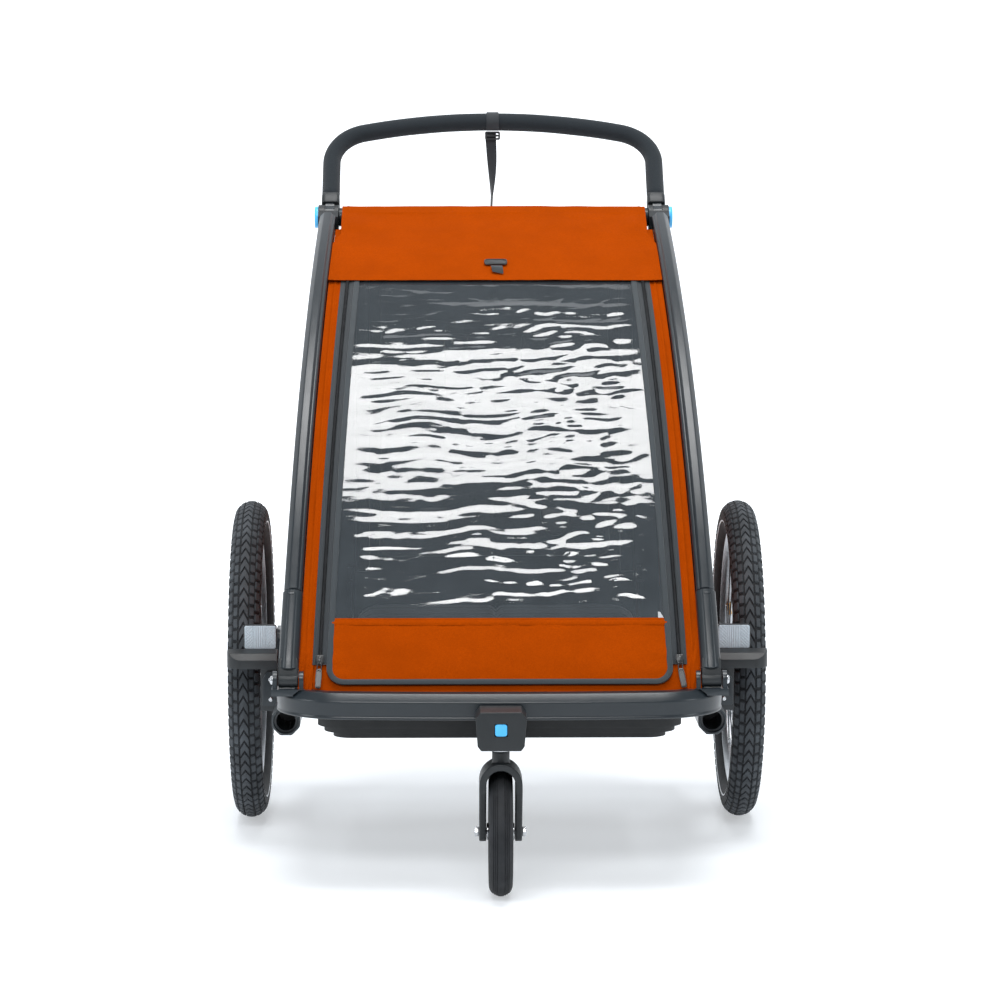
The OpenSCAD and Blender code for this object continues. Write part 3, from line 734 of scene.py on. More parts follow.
RAIL_X = 310
RAIL_Z = 229
RAIL_FRONT = -475
RAIL_BACK = 240
SOCKET_R = 14.2


def octagon(across):
    half = across / 2
    side = half * math.tan(math.radians(22.5))
    return [(half, -side), (half, side), (side, half), (-side, half),
            (-half, side), (-half, -side), (-side, -half), (side, -half)]


def side_rail(side):
    """Octagonal rail with an open socket in front and a ribbed cap behind."""
    outer = fillet(octagon(41), 2.4, 3)
    small = scaled(outer, 1.4)
    phase = math.atan2(outer[0][1], outer[0][0])
    count = len(outer)

    def circle(r):
        return [(r * math.cos(phase + 2 * math.pi * i / count), r * math.sin(phase + 2 * math.pi * i / count))
                for i in range(count)]

    levels = [(circle(0.5), RAIL_FRONT + 90), (circle(SOCKET_R), RAIL_FRONT + 89.5),
              (circle(SOCKET_R), RAIL_FRONT + 6.5), (circle(SOCKET_R + 3), RAIL_FRONT + 6),
              (circle(SOCKET_R + 3), RAIL_FRONT + 1),
              (circle(SOCKET_R + 3.8), RAIL_FRONT), (small, RAIL_FRONT), (outer, RAIL_FRONT + 1.4)]
    for k in range(1, 12):
        levels.append((outer, RAIL_FRONT + 1.4 + (RAIL_BACK - RAIL_FRONT - 2.8) * k / 12))
    levels += [(outer, RAIL_BACK - 1.4), (small, RAIL_BACK), (scaled(outer, 6), RAIL_BACK),
               (scaled(outer, 6.8), RAIL_BACK - 1.5), (scaled(outer, 18), RAIL_BACK - 1.5)]
    skin = [[(side * (RAIL_X + u), y, RAIL_Z + v) for u, v in shape] for shape, y in levels]
    piece("rail_" + NAMES[side], rings(skin), "frame", "base", 30, ["side_rail_" + NAMES[side]])


def machined_parts():
    """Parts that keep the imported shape, with their edges rounded."""
    softened("rear_cross_tube", 0.8, "frame", 2, 50)
    softened("axle_beam", 1.2, "frame")
    softened("floor_tub", 2.5, "tub", 3)
    softened("caster_mount", 3.5, "moulding", 4)
    for side in SIDES:
        name = NAMES[side]
        softened("wheel_guard_" + name, 2.0, "moulding", 3)
        softened("stub_axle_" + name, 1.2, "steel", 3)
        softened("brake_pin_" + name, 0.5, "steel", 2)
        softened("handle_joint_" + name, 1.6, "moulding", 3)
    softened("brake_pedal", 1.5, "moulding", 3)
    softened("top_tube", 0.8, "frame", 2, 50)
    softened("rear_hoop", 0.8, "frame", 2, 50)
    softened("caster_hub", 0.8, "moulding", 2)
    softened("caster_axle", 0.7, "steel", 2)
    softened("caster_stem", 0.8, "steel", 2)
    remeshed("caster_fork", 1.1, "moulding", 7)
    for side in SIDES:
        softened("rear_hub_" + NAMES[side], 0.7, "moulding", 2)


def screws(name, places, r, body, look="steel", replaces=()):
    """Button-head screws with a hex socket, each at a frame whose Z points out of the surface."""
    parts = []
    for place in places:
        n = 36
        hexagon = []
        for a in range(0, 360, 360 // n):
            reach = r * 0.42 / max(abs(math.cos(math.radians(a % 60 - 30))), 0.5)
            hexagon.append((reach * math.cos(math.radians(a)), reach * math.sin(math.radians(a))))
        shapes = [(disc(r, n), 0), (disc(r, n), r * 0.25), (disc(r * 0.86, n), r * 0.5),
                  (disc(r * 0.62, n), r * 0.62), (hexagon, r * 0.62), (hexagon, r * 0.2)]
        parts.append(moved(stack(shapes), place))
    obj = link(name, *merge(parts))
    return settle(obj, look, body, 35, replaces)


def mount_trim():
    """Push button of the front wheel's mount."""
    face = rounded(8.5, 8.5, 4.2, 6)
    levels = [(face, 0), (face, 5), (scaled(face, 0.5), 5.7), (scaled(face, 1.2), 6.0),
              (scaled(face, 3.5), 5.6), (scaled(face, 6), 5.5)]
    turn = at(0, -658, 247.5) @ turned(90, "X")
    piece("mount_push_button", moved(stack(levels), turn),
          "button", "mount_button", 35, ["caster_button"])


def reflector(side):
    """Moulded reflector: upright ribs in the middle, crossed prisms at both sides, a dark rim; the lens has
    painted light on its prism faces and painted shade between them.
    """
    w, h = 50, 38
    inner, outer = 333, 333 + w
    y = -300 + 37 + 0.3
    z0 = 303

    def face(u, v):
        x = u * w
        z = v * h
        middle = abs(x - w / 2) < 11
        if middle:
            relief = abs((x / 3.6) % 1 - 0.5) * 2
        else:
            relief = (abs(((x + z) / 5.4) % 1 - 0.5) + abs(((x - z) / 5.4) % 1 - 0.5)) * 1.1
        edge = min(u, 1 - u, v, 1 - v)
        relief = relief if edge > 0.03 else 0
        drop = 0 if abs(abs(x - w / 2) - 11) > 0.6 else 0.4
        across = inner + 1.5 + x * (w - 3) / w
        return side * across, y + 0.9 - relief * 0.7 + drop, z0 + 1.5 + z * (h - 3) / h

    lens = sheet_mesh("reflector_lens_" + NAMES[side], 96, 72, face, 1.6)
    lens.data.materials.append(M["prism"])
    lens.data.materials.append(M["valley"])
    # lens faces set deep between the prisms get the darker valley grey, painted shade; the raised faces get
    # the lighter prism colour, painted light
    for polygon in lens.data.polygons:
        in_painted_shade = polygon.center.y > mm(0, y + 0.62, 0).y
        polygon.material_index = 1 if in_painted_shade else 0
    settle(lens, None, "base", 25)
    rim = fillet([(inner, z0), (outer, z0), (outer, z0 + h), (inner, z0 + h)], 5, 5)
    mid = (inner + w / 2, z0 + h / 2)

    def shrunk(inset):
        return [(mid[0] + (a - mid[0]) * (1 - inset / 22), mid[1] + (b - mid[1]) * (1 - inset / 17))
                for a, b in rim]

    levels = [(shrunk(1.5), 0.2), (shrunk(0.5), 0), (rim, 1), (rim, 5), (shrunk(0.6), 6), (shrunk(8), 6),
              (shrunk(8), 4.6), (shrunk(1.7), 3.2)]
    skin = [[(side * a, y + d, b) for a, b in shape] for shape, d in levels]
    piece("reflector_shell_" + NAMES[side], rings(skin, closed=True),
          "moulding", "base", 30, ["reflector_" + NAMES[side]])


def guard_trim(side):
    """Clip plate and screws on the guard's bracket."""
    places = [axis_x(339.5, -272.5, z, side) for z in (222, 240)]
    replaced = ["guard_screws"] if side > 0 else []
    screws("guard_screw_" + NAMES[side], places, 4.5, "base", replaces=replaced)
    plate = fillet([(0, 0), (22, 0), (22, 40), (14, 52), (0, 52)], 3, 3)
    turn = mirrored(side) @ at(332, -291.5, 222) @ turned(90, "X")
    piece("guard_bracket_plate_" + NAMES[side], moved(prism(plate, 2.2, 0.5), turn),
          "frame", "base", 30)
    front = [mirrored(side) @ at(x, -293.7, z) @ turned(90, "X") for x, z in ((341, 232), (341, 262))]
    screws("guard_front_screw_" + NAMES[side], front, 3.4, "base")


# ---------------------------------------------------------------- pillars, sleeves, hinges

def pillar_stations(side, start, end, step=0.4):
    base = pillar_frame(side)
    count = max(2, round(abs(end - start) / step))
    out = []
    for i in range(count + 1):
        a = math.radians(start + (end - start) * i / count)
        spin = Matrix.Rotation(a, 4, "Z")
        radial = Matrix(((1, 0, 0, PILLAR_R), (0, 0, -1, 0), (0, 1, 0, 0), (0, 0, 0, 1)))
        out.append(base @ spin @ radial)
    return out


def pillar(side):
    """Faceted tube on the curve with a shallow track on its inner face for the cover."""
    section = fillet([(-18, -5.5), (-10, -13), (10, -13), (13.4, -10), (13.4, -8.4), (18, -5.5),
                      (18, 5.5), (10, 13), (-10, 13), (-18, 5.5)], 1.5, 3)
    stations = pillar_stations(side, CURVE_START + 0.9, SLEEVE_TOP)
    piece("pillar_tube_" + NAMES[side], bar(section, stations),
          "frame", "front_frame", 30, ["pillar_" + NAMES[side]])
    ear = prism(disc(18, 48), 6, 0.8)
    web = prism(fillet([(-9, 8), (-9, 26), (9, 26), (9, 8)], 2), 6, 0.8)
    tilt = turned(-135, "Z")
    parts = [moved(ear, axis_x(257, HOOP[0], HOOP[1], side)),
             moved(web, axis_x(257, HOOP[0], HOOP[1], side) @ tilt)]
    piece("hoop_ear_" + NAMES[side], merge(parts), "frame", "front_frame", 30)


def sleeve(side):
    """Smooth wider sleeve at the pillar's foot, with its knuckle round the hinge pin."""
    section = fillet(cut_rectangle(39, 29, 9), 3.6, 4)
    stations = pillar_stations(side, SLEEVE_TOP + 0.05, SLEEVE_END, 0.3)
    stations = stations[:-2] + [stations[-2] @ turned(11, "Y"),
                                stations[-1] @ turned(22, "Y")]
    parts = [bar(section, stations, 1.2)]
    slot_at = pillar_frame(side) @ turned(SLEEVE_TOP + 0.35, "Z")
    slot = rounded(1.5, 5, 1.2, 3)
    parts.append(moved(prism(slot, 1.2, 0.3),
                       slot_at @ at(PILLAR_R + 18.8, 0, 2) @ turned(90, "Y") @ turned(90, "Z")))
    piece("pillar_foot_sleeve_" + NAMES[side], merge(parts),
          "frame", "front_frame", 40, ["pillar_sleeve_" + NAMES[side]])
    knuckle = moved(prism(disc(11, 40), 28, 1.0), axis_x(PILLAR_LOW - 14, LOW[0], LOW[1], side))
    turn = turned(CURVE_END - 90, "Z")
    shank = moved(prism(fillet([(0, -12), (30, -17), (30, 15), (0, 10.5)], 5, 4), 27, 2.0),
                  axis_x(PILLAR_LOW - 13.5, LOW[0], LOW[1], side) @ turn)
    piece("pillar_knuckle_" + NAMES[side], merge([knuckle, shank]), "moulding", "front_frame", 35)


def centre_of(ring):
    n = len(ring)
    return tuple(sum(p[i] for p in ring) / n for i in range(3))


def pins():
    """Head and nut of the front hinge pins."""
    places = []
    for side in SIDES:
        places.append(axis_x(PILLAR_LOW + 22, LOW[0], LOW[1], side))
    screws("hinge_pin_heads", places, 6.5, "base", replaces=["hinge_pins"])


def joint_trim(side):
    """Blue release disc with a ring groove, and a collar at the top of the handle joint."""
    profile = [(0.4, 0), (17.4, 0), (17.5, 4.6), (16.9, 5.4), (15.6, 5.6), (14.4, 5.1), (13.4, 5.1),
               (12.4, 5.5), (6, 5.2), (0.4, 5.1)]
    piece("handle_release_" + NAMES[side], moved(revolve(profile, 72), axis_x(283.5, TOP[0], TOP[1], side)),
          "button", "button_" + NAMES[side], 40, ["handle_button_" + NAMES[side]])
    stub = [(11.4, -8.5), (13.4, -8.5), (14, -7.8), (14, -0.6), (13.4, 0), (11.4, 0)]
    piece("joint_bush_" + NAMES[side], moved(revolve(stub, 56), axis_x(250.1, TOP[0], TOP[1], side)),
          "moulding", "front_frame", 40)
    cuff = rounded(14.5, 15, 7, 5)
    levels = [(scaled(cuff, 2.4), 21), (scaled(cuff, 0.6), 21.6), (cuff, 23), (cuff, 40),
              (scaled(cuff, 0.8), 42.5), (scaled(cuff, 2.6), 43.8)]
    lay = handle_frame() @ at(side * HANDLE_HALF, 0, 0) @ turned(-90, "X")
    piece("handle_cuff_" + NAMES[side], moved(stack(levels), lay), "moulding", "handle", 40)


# ---------------------------------------------------------------- handle

HANDLE_HALF = 264
ARCH_TOP = 213.7
ARCH_R = 878
BEND_R = 70
BEND_X = HANDLE_HALF - BEND_R
ARCH_C = ARCH_TOP - ARCH_R
BEND_S = ARCH_C + math.sqrt((ARCH_R - BEND_R) ** 2 - BEND_X ** 2)
BEND_ANGLE = math.degrees(math.atan2(BEND_S - ARCH_C, BEND_X))
GRIP_R = 14.5


def handle_path(start):
    """Points (x, s, direction in degrees) up the right leg, over the arch and down the left."""
    half = [(HANDLE_HALF, start + (BEND_S - start) * k / 16, 90) for k in range(16)]
    for x, s in arc(BEND_X, BEND_S, BEND_R, 0, BEND_ANGLE, 18):
        half.append((x, s, 90 + math.degrees(math.atan2(s - BEND_S, x - BEND_X))))
    for x, s in arc(0, ARCH_C, ARCH_R, BEND_ANGLE + 0.6, 90, 22):
        half.append((x, s, 90 + math.degrees(math.atan2(s - ARCH_C, x))))
    back = [(-x, s, 360 - d) for x, s, d in half[:-1]]
    return half + back[::-1]


def grip():
    """Foam sleeve over the handle, slightly uneven where hands hold it, with tucked ends."""
    path = handle_path(44)
    skin = []
    count = 40
    for i, (x, s, d) in enumerate(path):
        a = math.radians(d)
        across = Vector((math.sin(a), -math.cos(a), 0))
        ring = []
        last = min(i, len(path) - 1 - i)
        r = GRIP_R - (1.6 if last == 0 else 0)
        for k in range(count):
            t = 2 * math.pi * k / count
            swell = 0.22 * ripple(x, s, 30 * math.cos(t), 46, 3.1) - 0.15
            p = Vector((x, s, 0)) + across * (r + swell) * math.cos(t)
            p.z = (r + swell) * math.sin(t)
            ring.append(tuple(p))
        skin.append(ring)
    inner = [shrink(ring, 11.6 / 12.9) for ring in (skin[0], skin[-1])]
    parts = rings([inner[0]] + skin + [inner[1]], caps=False)
    piece("grip_foam", moved(parts, handle_frame()), "foam", "handle", 60, ["foam_grip"])


def shrink(ring, k):
    c = centre_of(ring)
    return [tuple(c[i] + (p[i] - c[i]) * k for i in range(3)) for p in ring]


def wrist_strap():
    """Webbing looped over the grip, a slide buckle, and the tail that twists as it hangs."""
    arch = handle_frame() @ Vector((0, ARCH_TOP, 0))
    y0, z0 = arch.y, arch.z
    half = 10.0
    thick = 1.5
    loop = []
    loop_r = GRIP_R + 1.2
    for k in range(29):
        a = math.radians(-62 + 304 * k / 28)
        d = a + math.pi / 2
        place = Vector((0, y0 + loop_r * math.cos(a), z0 + loop_r * math.sin(a)))
        loop.append((place, Vector((0, math.cos(d), math.sin(d))), 0.0, 1.0))
    tail = []
    drop = 121
    for k in range(41):
        t = k / 40
        z = z0 - GRIP_R - 4 - drop * t
        twist = math.radians(78) * max(0.0, min(1.0, (t - 0.2) / 0.65)) ** 1.2
        y = y0 - 1.5 + 2.5 * math.sin(t * 3.1)
        place = Vector((-3.5 + 3.0 * math.sin(t * 2.6), y, z))
        tail.append((place, Vector((0, 0.02, -1)), twist, 1.0 - 0.35 * t))
    parts = [ribbon_mesh(loop, half, thick), ribbon_mesh(tail, half * 0.92, thick)]
    piece("wrist_strap_webbing", merge(parts), "webbing", "handle", 50, ["wrist_strap"])
    frame_w = rounded(12.5, 7, 3, 4)
    place = at(0, y0 - 5.5, z0 - GRIP_R - 8) @ turned(90, "X")
    rim = rings([[(x * s, y * t, z) for x, y in frame_w] for s, t, z in (
        (1, 1, 0.4), (1, 1, 2.2), (0.97, 0.95, 2.8), (0.8, 0.62, 2.8), (0.77, 0.55, 2.2), (0.77, 0.55, 0.4),
        (0.8, 0.62, -0.2), (0.97, 0.95, -0.2))], closed=True)
    bar_mid = prism(rounded(10, 1.6, 0.8), 2.6, 0.4)
    piece("strap_slide_buckle", merge([moved(rim, place), moved(bar_mid, place)]),
          "slider", "handle", 35)


def strap_section(w, t):
    """Section of a strap with thinned edges; w and t are half its width and thickness."""
    return [(-w, -t * 0.4), (-w + 0.7, -t), (w - 0.7, -t), (w, -t * 0.4),
            (w, t * 0.4), (w - 0.7, t), (-w + 0.7, t), (-w, t * 0.4)]


def ribbon_mesh(path, half, thick):
    """Flat strap along (point, direction, twist, width share); it is wide along X when untwisted."""
    skin = []
    for point, direction, twist, wide in path:
        d = direction.normalized()
        across = Vector((1, 0, 0))
        normal = d.cross(across).normalized()
        spin = Matrix.Rotation(twist, 4, d)
        u = spin @ across
        n = spin @ normal
        outline = strap_section(half * wide, thick / 2)
        skin.append([tuple(point + u * a + n * b) for a, b in outline])
    return rings(skin)


# ---------------------------------------------------------------- wheels

TYRE_R = 250
TYRE_W = 54
TUBE_R = TYRE_W / 2
PITCHES = 84


def tread_tyre(side):
    """Balloon tyre: V-shaped blocks in the middle, narrow blocks beside them, side blocks outside; the raised
    faces of the blocks get a lighter rubber, painted light, so the grooves read darker as painted shade.
    """
    # one row: (angle from the crown, relief, which staggered ring of blocks it belongs to)
    half = [(0.5, 2.8, 0), (8, 2.8, 0), (14, 2.7, 0), (15.5, 0, 0), (19.5, 0, 1), (21, 2.7, 1), (28, 2.7, 1),
            (35, 2.6, 1), (36.5, 0, 1), (41.5, 0, 2), (43, 2.5, 2), (52, 2.4, 2), (61, 2.2, 2), (63, 0, 2),
            (67, 0, 3), (68.5, 1.5, 3), (76, 1.3, 3), (77.5, 0, 3)]
    rows = [(-a, h, k) for a, h, k in half[::-1]] + half
    wall = [82, 90, 96, 97, 100, 101, 108, 118, 130, 141, 148]
    rows = [(-a, 0.6 if a in (97, 100) else 0, 9) for a in wall[::-1]] + rows + [
        (a, 0.6 if a in (97, 100) else 0, 9) for a in wall]
    pitch = 2 * math.pi / PITCHES
    cuts = (0.0, 0.2, 0.27, 0.5, 0.73, 0.93)
    base = TUBE_R - 2.8
    count = len(rows)
    verts = []
    for i in range(PITCHES):
        for cut in cuts:
            for angle, relief, kind in rows:
                a = math.radians(angle)
                share = {0: 0.0, 1: 0.5, 2: 0.0, 3: 0.25}.get(kind, 0.0)
                turn = (i + cut + share) * pitch
                if kind == 0:
                    turn += pitch * 0.75 * abs(angle) / 16
                groove = cut < 0.25 and kind != 9
                r = base + (relief * 0.1 if groove else relief)
                verts.append((
                    (TYRE_R - TUBE_R + r * math.cos(a)) * math.cos(turn),
                    (TYRE_R - TUBE_R + r * math.cos(a)) * math.sin(turn),
                    r * math.sin(a),
                ))
    faces = []
    turns = PITCHES * len(cuts)
    for j in range(turns):
        n = (j + 1) % turns
        for k in range(count - 1):
            faces.append((j * count + k, j * count + k + 1, n * count + k + 1, n * count + k))
    place = axis_x(WHEEL_X, 0, AXLE_Z, side)
    name = NAMES[side]
    obj = link("tyre_tread_" + name, *moved((verts, faces), place), closed=False)
    thicken(obj, 2.2, float(side))
    obj.data.materials.append(M["tyre"])
    obj.data.materials.append(M["tread"])
    # faces standing above the groove floor get the lighter tread colour: painted light on the block tops,
    # painted shade in the grooves
    back = place.inverted()
    for polygon in obj.data.polygons:
        c = polygon.center
        local = back @ Vector((c.x / MM, c.y / MM - SHIFT, c.z / MM))
        lift = math.hypot(math.hypot(local.x, local.y) - (TYRE_R - TUBE_R), local.z) - base
        polygon.material_index = 1 if lift > 1.15 else 0
    settle(obj, None, "wheel_" + name, 25, ["rear_tyre_" + name])
    lines = []
    for face in (-1, 1):
        ring = []
        for t in range(9):
            a = math.radians(100 + 5 * t / 8)
            lift = base + 0.5 + 0.15 * math.sin(math.pi * t / 8)
            ring.append((TYRE_R - TUBE_R + lift * math.cos(a), face * lift * math.sin(a)))
        for t in range(9):
            a = math.radians(105 - 5 * t / 8)
            ring.append((TYRE_R - TUBE_R + (base - 0.6) * math.cos(a), face * (base - 0.6) * math.sin(a)))
        lines.append(moved(revolve(ring, 180), place))
    piece("tyre_reflective_lines_" + name, merge(lines), "stripe", "wheel_" + name, 40)


def rim(side):
    """Box-section alloy rim with hooked edges, spoke nipples and a brass valve."""
    name = NAMES[side]
    place = axis_x(WHEEL_X, 0, AXLE_Z, side)
    profile = fillet([(194, -5), (194, 5), (199, 13), (208.5, 13.2), (209.5, 12.4), (209.3, 11.4),
                      (203, 10.6), (200, 6), (199.4, 0), (200, -6), (203, -10.6), (209.3, -11.4),
                      (209.5, -12.4), (208.5, -13.2), (199, -13)], 0.9, 2)
    piece("rim_" + name, moved(revolve(profile, 160), place),
          "rim", "wheel_" + name, 30, ["rear_rim_" + name])
    nipples = []
    shape = [(0.2, 0), (2.6, 0), (2.6, 4), (1.9, 5), (1.8, 9.5), (0.2, 9.5)]
    for k in range(20):
        face = 1 if k % 2 == 0 else -1
        spin = Matrix.Rotation(2 * math.pi * k / 20, 4, "Z")
        lean = math.atan(12 / 166.7)
        m = place @ spin @ at(194.2, 0, face * 2.9) @ Matrix.Rotation(
            -math.pi / 2 - face * lean, 4, "Y")
        nipples.append(moved(revolve(shape, 14), m))
    piece("spoke_nipples_" + name, merge(nipples), "steel", "wheel_" + name, 35)
    spin = turned(18 if side > 0 else 198, "Z")
    m = place @ spin @ at(194.5, 0, 0) @ Matrix.Rotation(-math.pi / 2, 4, "Y")
    stem = [(0.3, -2), (3.2, -2), (3.2, 2), (4.6, 2.2), (4.6, 5.6), (3.1, 6), (3.1, 16), (2.4, 16.6),
            (2.4, 19), (3.4, 19.4), (3.4, 33), (2.8, 34.4), (0.3, 34.6)]
    piece("tyre_valve_" + name, moved(revolve(stem, 28), m), "brass", "wheel_" + name, 35)
    cap = [(0.4, 19), (7.4, 19), (8.6, 20.2), (8.6, 23), (7, 25.5), (0.4, 26.4)]
    piece("hub_cap_" + name, moved(revolve(cap, 48), place), "moulding", "wheel_" + name, 35)


def caster_wheel():
    """Small wheel: solid tyre with fine grooves on both shoulders."""
    place = at(0, CASTER[0], CASTER[1]) @ ALONG_X
    outer = []
    crown = 17.0
    radius = 92.0
    for k in range(121):
        a = math.radians(-105 + 210 * k / 120)
        z = crown * math.sin(a)
        reach = math.cos(a) ** 0.9 if math.cos(a) > 0 else math.cos(a)
        r = radius - crown + crown * reach
        groove = 0.0
        for centre in (5.2, 8.0, 10.6):
            if abs(abs(z) - centre) < 0.5 and math.cos(a) > 0:
                groove = 0.9
        outer.append((r - groove - 0.1, z))
    profile = outer + [(63, 15.2), (62.4, 13), (62.4, -13), (63, -15.2)]
    piece("caster_tyre_tread", moved(revolve(profile, 128), place),
          "tyre", "front_wheel", 30, ["caster_tyre"])
    for face in SIDES:
        cap = [(5, 17.2), (11, 17.2), (12.4, 17.8), (12.4, 19), (11, 19.8), (5, 20)]
        m = mirrored(face) @ place
        piece("caster_bearing_cap_" + NAMES[face], moved(revolve(cap, 40), m),
              "steel", "front_wheel", 35)


def plain_nodes():
    """Spokes and handle tube, which show as they were packed."""
    for side in SIDES:
        recoat("rear_spokes_" + NAMES[side], "spoke")
    recoat("handle_tube", "frame")


def recoat(name, look):
    node = frame["nodes"][name]
    node.data.materials.clear()
    node.data.materials.append(M[look])
    for polygon in node.data.polygons:
        polygon.material_index = 0


# ---------------------------------------------------------------- cover

def window():
    """Clear film, slightly slack, with long flat creases across it and a crumple to one side."""
    def point(u, v):
        angle = HOOD_HEM - 0.7 + (WINDOW_END + 0.25 - HOOD_HEM + 0.7) * v
        y, z = curve_point(angle)
        half = pillar_x(y, z) - ZIP_IN - 0.3
        x = (2 * u - 1) * half
        along = math.radians(angle) * PILLAR_R
        edge = min(1.0, min(u, 1 - u) * 9) * min(1.0, min(v, 1 - v) * 12)
        bend = along + 16 * wavy(x / 95, along / 140, 2.2)
        broad = wavy(x / 190, bend / 26, 11.7)
        long = wavy(x / 120 + 4, bend / 12.5, 5.1)
        fine = wavy(x / 46, bend / 7.0, 8.3)
        crumple = 1 - abs(wavy(x / 30 + 7 + along / 60, along / 18, 1.4)) * 2
        spread = 0.3 + 0.7 * max(0.0, min(1.0, (u - 0.35) * 2.2)) * max(0.0, min(1.0, (v - 0.08) * 4))
        calm = 0.35 + 0.65 * min(1.0, max(0.0, (v - 0.1) * 5))
        ease = 1.0 - 0.35 * max(0.0, (v - 0.8) * 5)
        lift = 2.0 * broad + 0.85 * long * calm + 0.3 * fine * calm + 1.35 * crumple * spread * ease
        sag = -2.2 * math.sin(math.pi * u) * math.sin(math.pi * v)
        y, z = curve_point(angle, 3.4 + edge * (lift + sag * 0.4))
        return x, y, z

    obj = sheet_mesh("window_film", 118, 400, point, 0.0)
    settle(obj, "window", "front_frame", 80, ["front_window"])


def band(name, look, insets, angles, lift, columns, rows, thick, shape):
    """Strips of cloth beside both pillars between two insets from the pillar's centre line."""
    inner, outer = insets
    start, end = angles
    out = []
    for side in SIDES:
        def point(u, v):
            angle = start + (end - start) * v
            y, z = curve_point(angle)
            inset = outer + (inner - outer) * u
            x = pillar_x(y, z) - inset
            y, z = curve_point(angle, lift + shape(u, v, side))
            return side * x, y, z
        obj = sheet_mesh(name + "_" + NAMES[side], columns, rows, point, thick)
        settle(obj, look, "front_frame", 50)
        out.append(obj)
    return out


def gussets():
    """Orange strips beside the pillars, folded lengthwise, gathered at the lower corners."""
    def folds(u, v, side):
        crease = 1.5 * math.exp(-((u - 0.5) / 0.09) ** 2) - 0.6 * math.exp(-((u - 0.3) / 0.08) ** 2)
        wave = 1.3 * wavy(u * 2.1 + side, v * 13, 3.3)
        low = max(0.0, (v - 0.9) / 0.1)
        slant = v * 62 + u * 5 * side
        pucker = low * (3.6 * wavy(u * 2.2, slant, side * 2.0) + 1.4)
        return crease * (1 - low) + wave + pucker

    strips = band("gusset_cloth", "canvas", (14.5, 35), (CURVE_START + 2.2, CURVE_END + 0.7), 1.2,
                  26, 360, 0.7, folds)
    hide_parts("cover_gussets")


def zips():
    """Woven tapes with a coil in the middle and a dark flap over the inner edge."""
    def tape(u, v, side):
        ridge = 1.3 * math.exp(-((u - 0.1) / 0.07) ** 2) + 0.7 * math.exp(-((u - 0.8) / 0.05) ** 2)
        ridge -= 0.8 * math.exp(-((u - 0.5) / 0.14) ** 2)
        return ridge + 0.25 * wavy(u, v * 30, side)

    tapes = band("zip_tape_cloth", "zip", (33.5, 55), (HOOD_HEM - 0.6, CURVE_END - 0.9), 2.8,
                 30, 260, 0.9, tape)
    for obj, side in zip(tapes, SIDES):
        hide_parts("zip_tape_" + NAMES[side])
    for side in SIDES:
        start = HOOD_HEM - 0.5
        end = SLIDER_ANGLE + 0.2
        steps = 2400
        skin = []
        for i in range(steps + 1):
            angle = start + (end - start) * i / steps
            y, z = curve_point(angle)
            x = pillar_x(y, z) - 44
            y, z = curve_point(angle, 4.2)
            a = math.radians(angle)
            out = Vector((0, math.cos(a), math.sin(a)))
            r = (2.2, 2.45, 1.7)[i % 3]
            sway = (0.5, 0.0, -0.5)[i % 3] * 0.4
            ring = []
            for k in range(8):
                t = 2 * math.pi * k / 8
                p = Vector((side * x + sway, y, z)) + Vector((r * 1.15 * math.cos(t), 0, 0)) + out * (
                    r * 0.62 * math.sin(t))
                ring.append(tuple(p))
            skin.append(ring)
        piece("zip_coil_" + NAMES[side], rings(skin), "coil", "front_frame", 60)


def edge_tape():
    """Grey binding down both sides of the window cover and round its lower corners."""
    corner = 26
    start = HOOD_HEM - 0.5
    bottom = COVER_END
    outline = []
    def at_angle(angle, inset):
        y, z = curve_point(angle)
        return pillar_x(y, z) - inset, angle
    steps = 150
    last = bottom - math.degrees(corner / PILLAR_R)
    for i in range(steps + 1):
        outline.append(at_angle(start + (last - start) * i / steps, ZIP_IN))
    for i in range(1, 15):
        t = math.pi / 2 * i / 14
        outline.append(at_angle(last + math.degrees(corner / PILLAR_R) * math.sin(t),
                                ZIP_IN + corner * (1 - math.cos(t))))
    x_end = outline[-1][0]
    flat = 60
    for i in range(1, flat + 1):
        outline.append((x_end * (1 - i / flat), bottom))
    outline += [(-x, a) for x, a in outline[:-1][::-1]]
    width = 8.5
    skin = []
    for i, (x, angle) in enumerate(outline):
        before = outline[max(0, i - 1)]
        after = outline[min(len(outline) - 1, i + 1)]
        dx = after[0] - before[0]
        ds = math.radians(after[1] - before[1]) * PILLAR_R
        size = math.hypot(dx, ds)
        nx, ns = ds / size, -dx / size     # inward across the tape
        ring = []
        for across, lift in ((0, 3.4), (0.6, 5.2), (width / 2, 5.7), (width - 0.8, 5.3), (width, 4.2),
                             (width - 1, 3.5), (width / 2, 3.1), (0.8, 2.8)):
            px = x - nx * across
            pa = angle - math.degrees(ns * across / PILLAR_R)
            wave = 0.3 * wavy(px / 30, pa * 1.4, 5)
            y, z = curve_point(pa, lift + wave)
            ring.append((px, y, z))
        skin.append(ring)
    piece("window_frame_tape", rings(skin), "binding", "front_frame", 50)


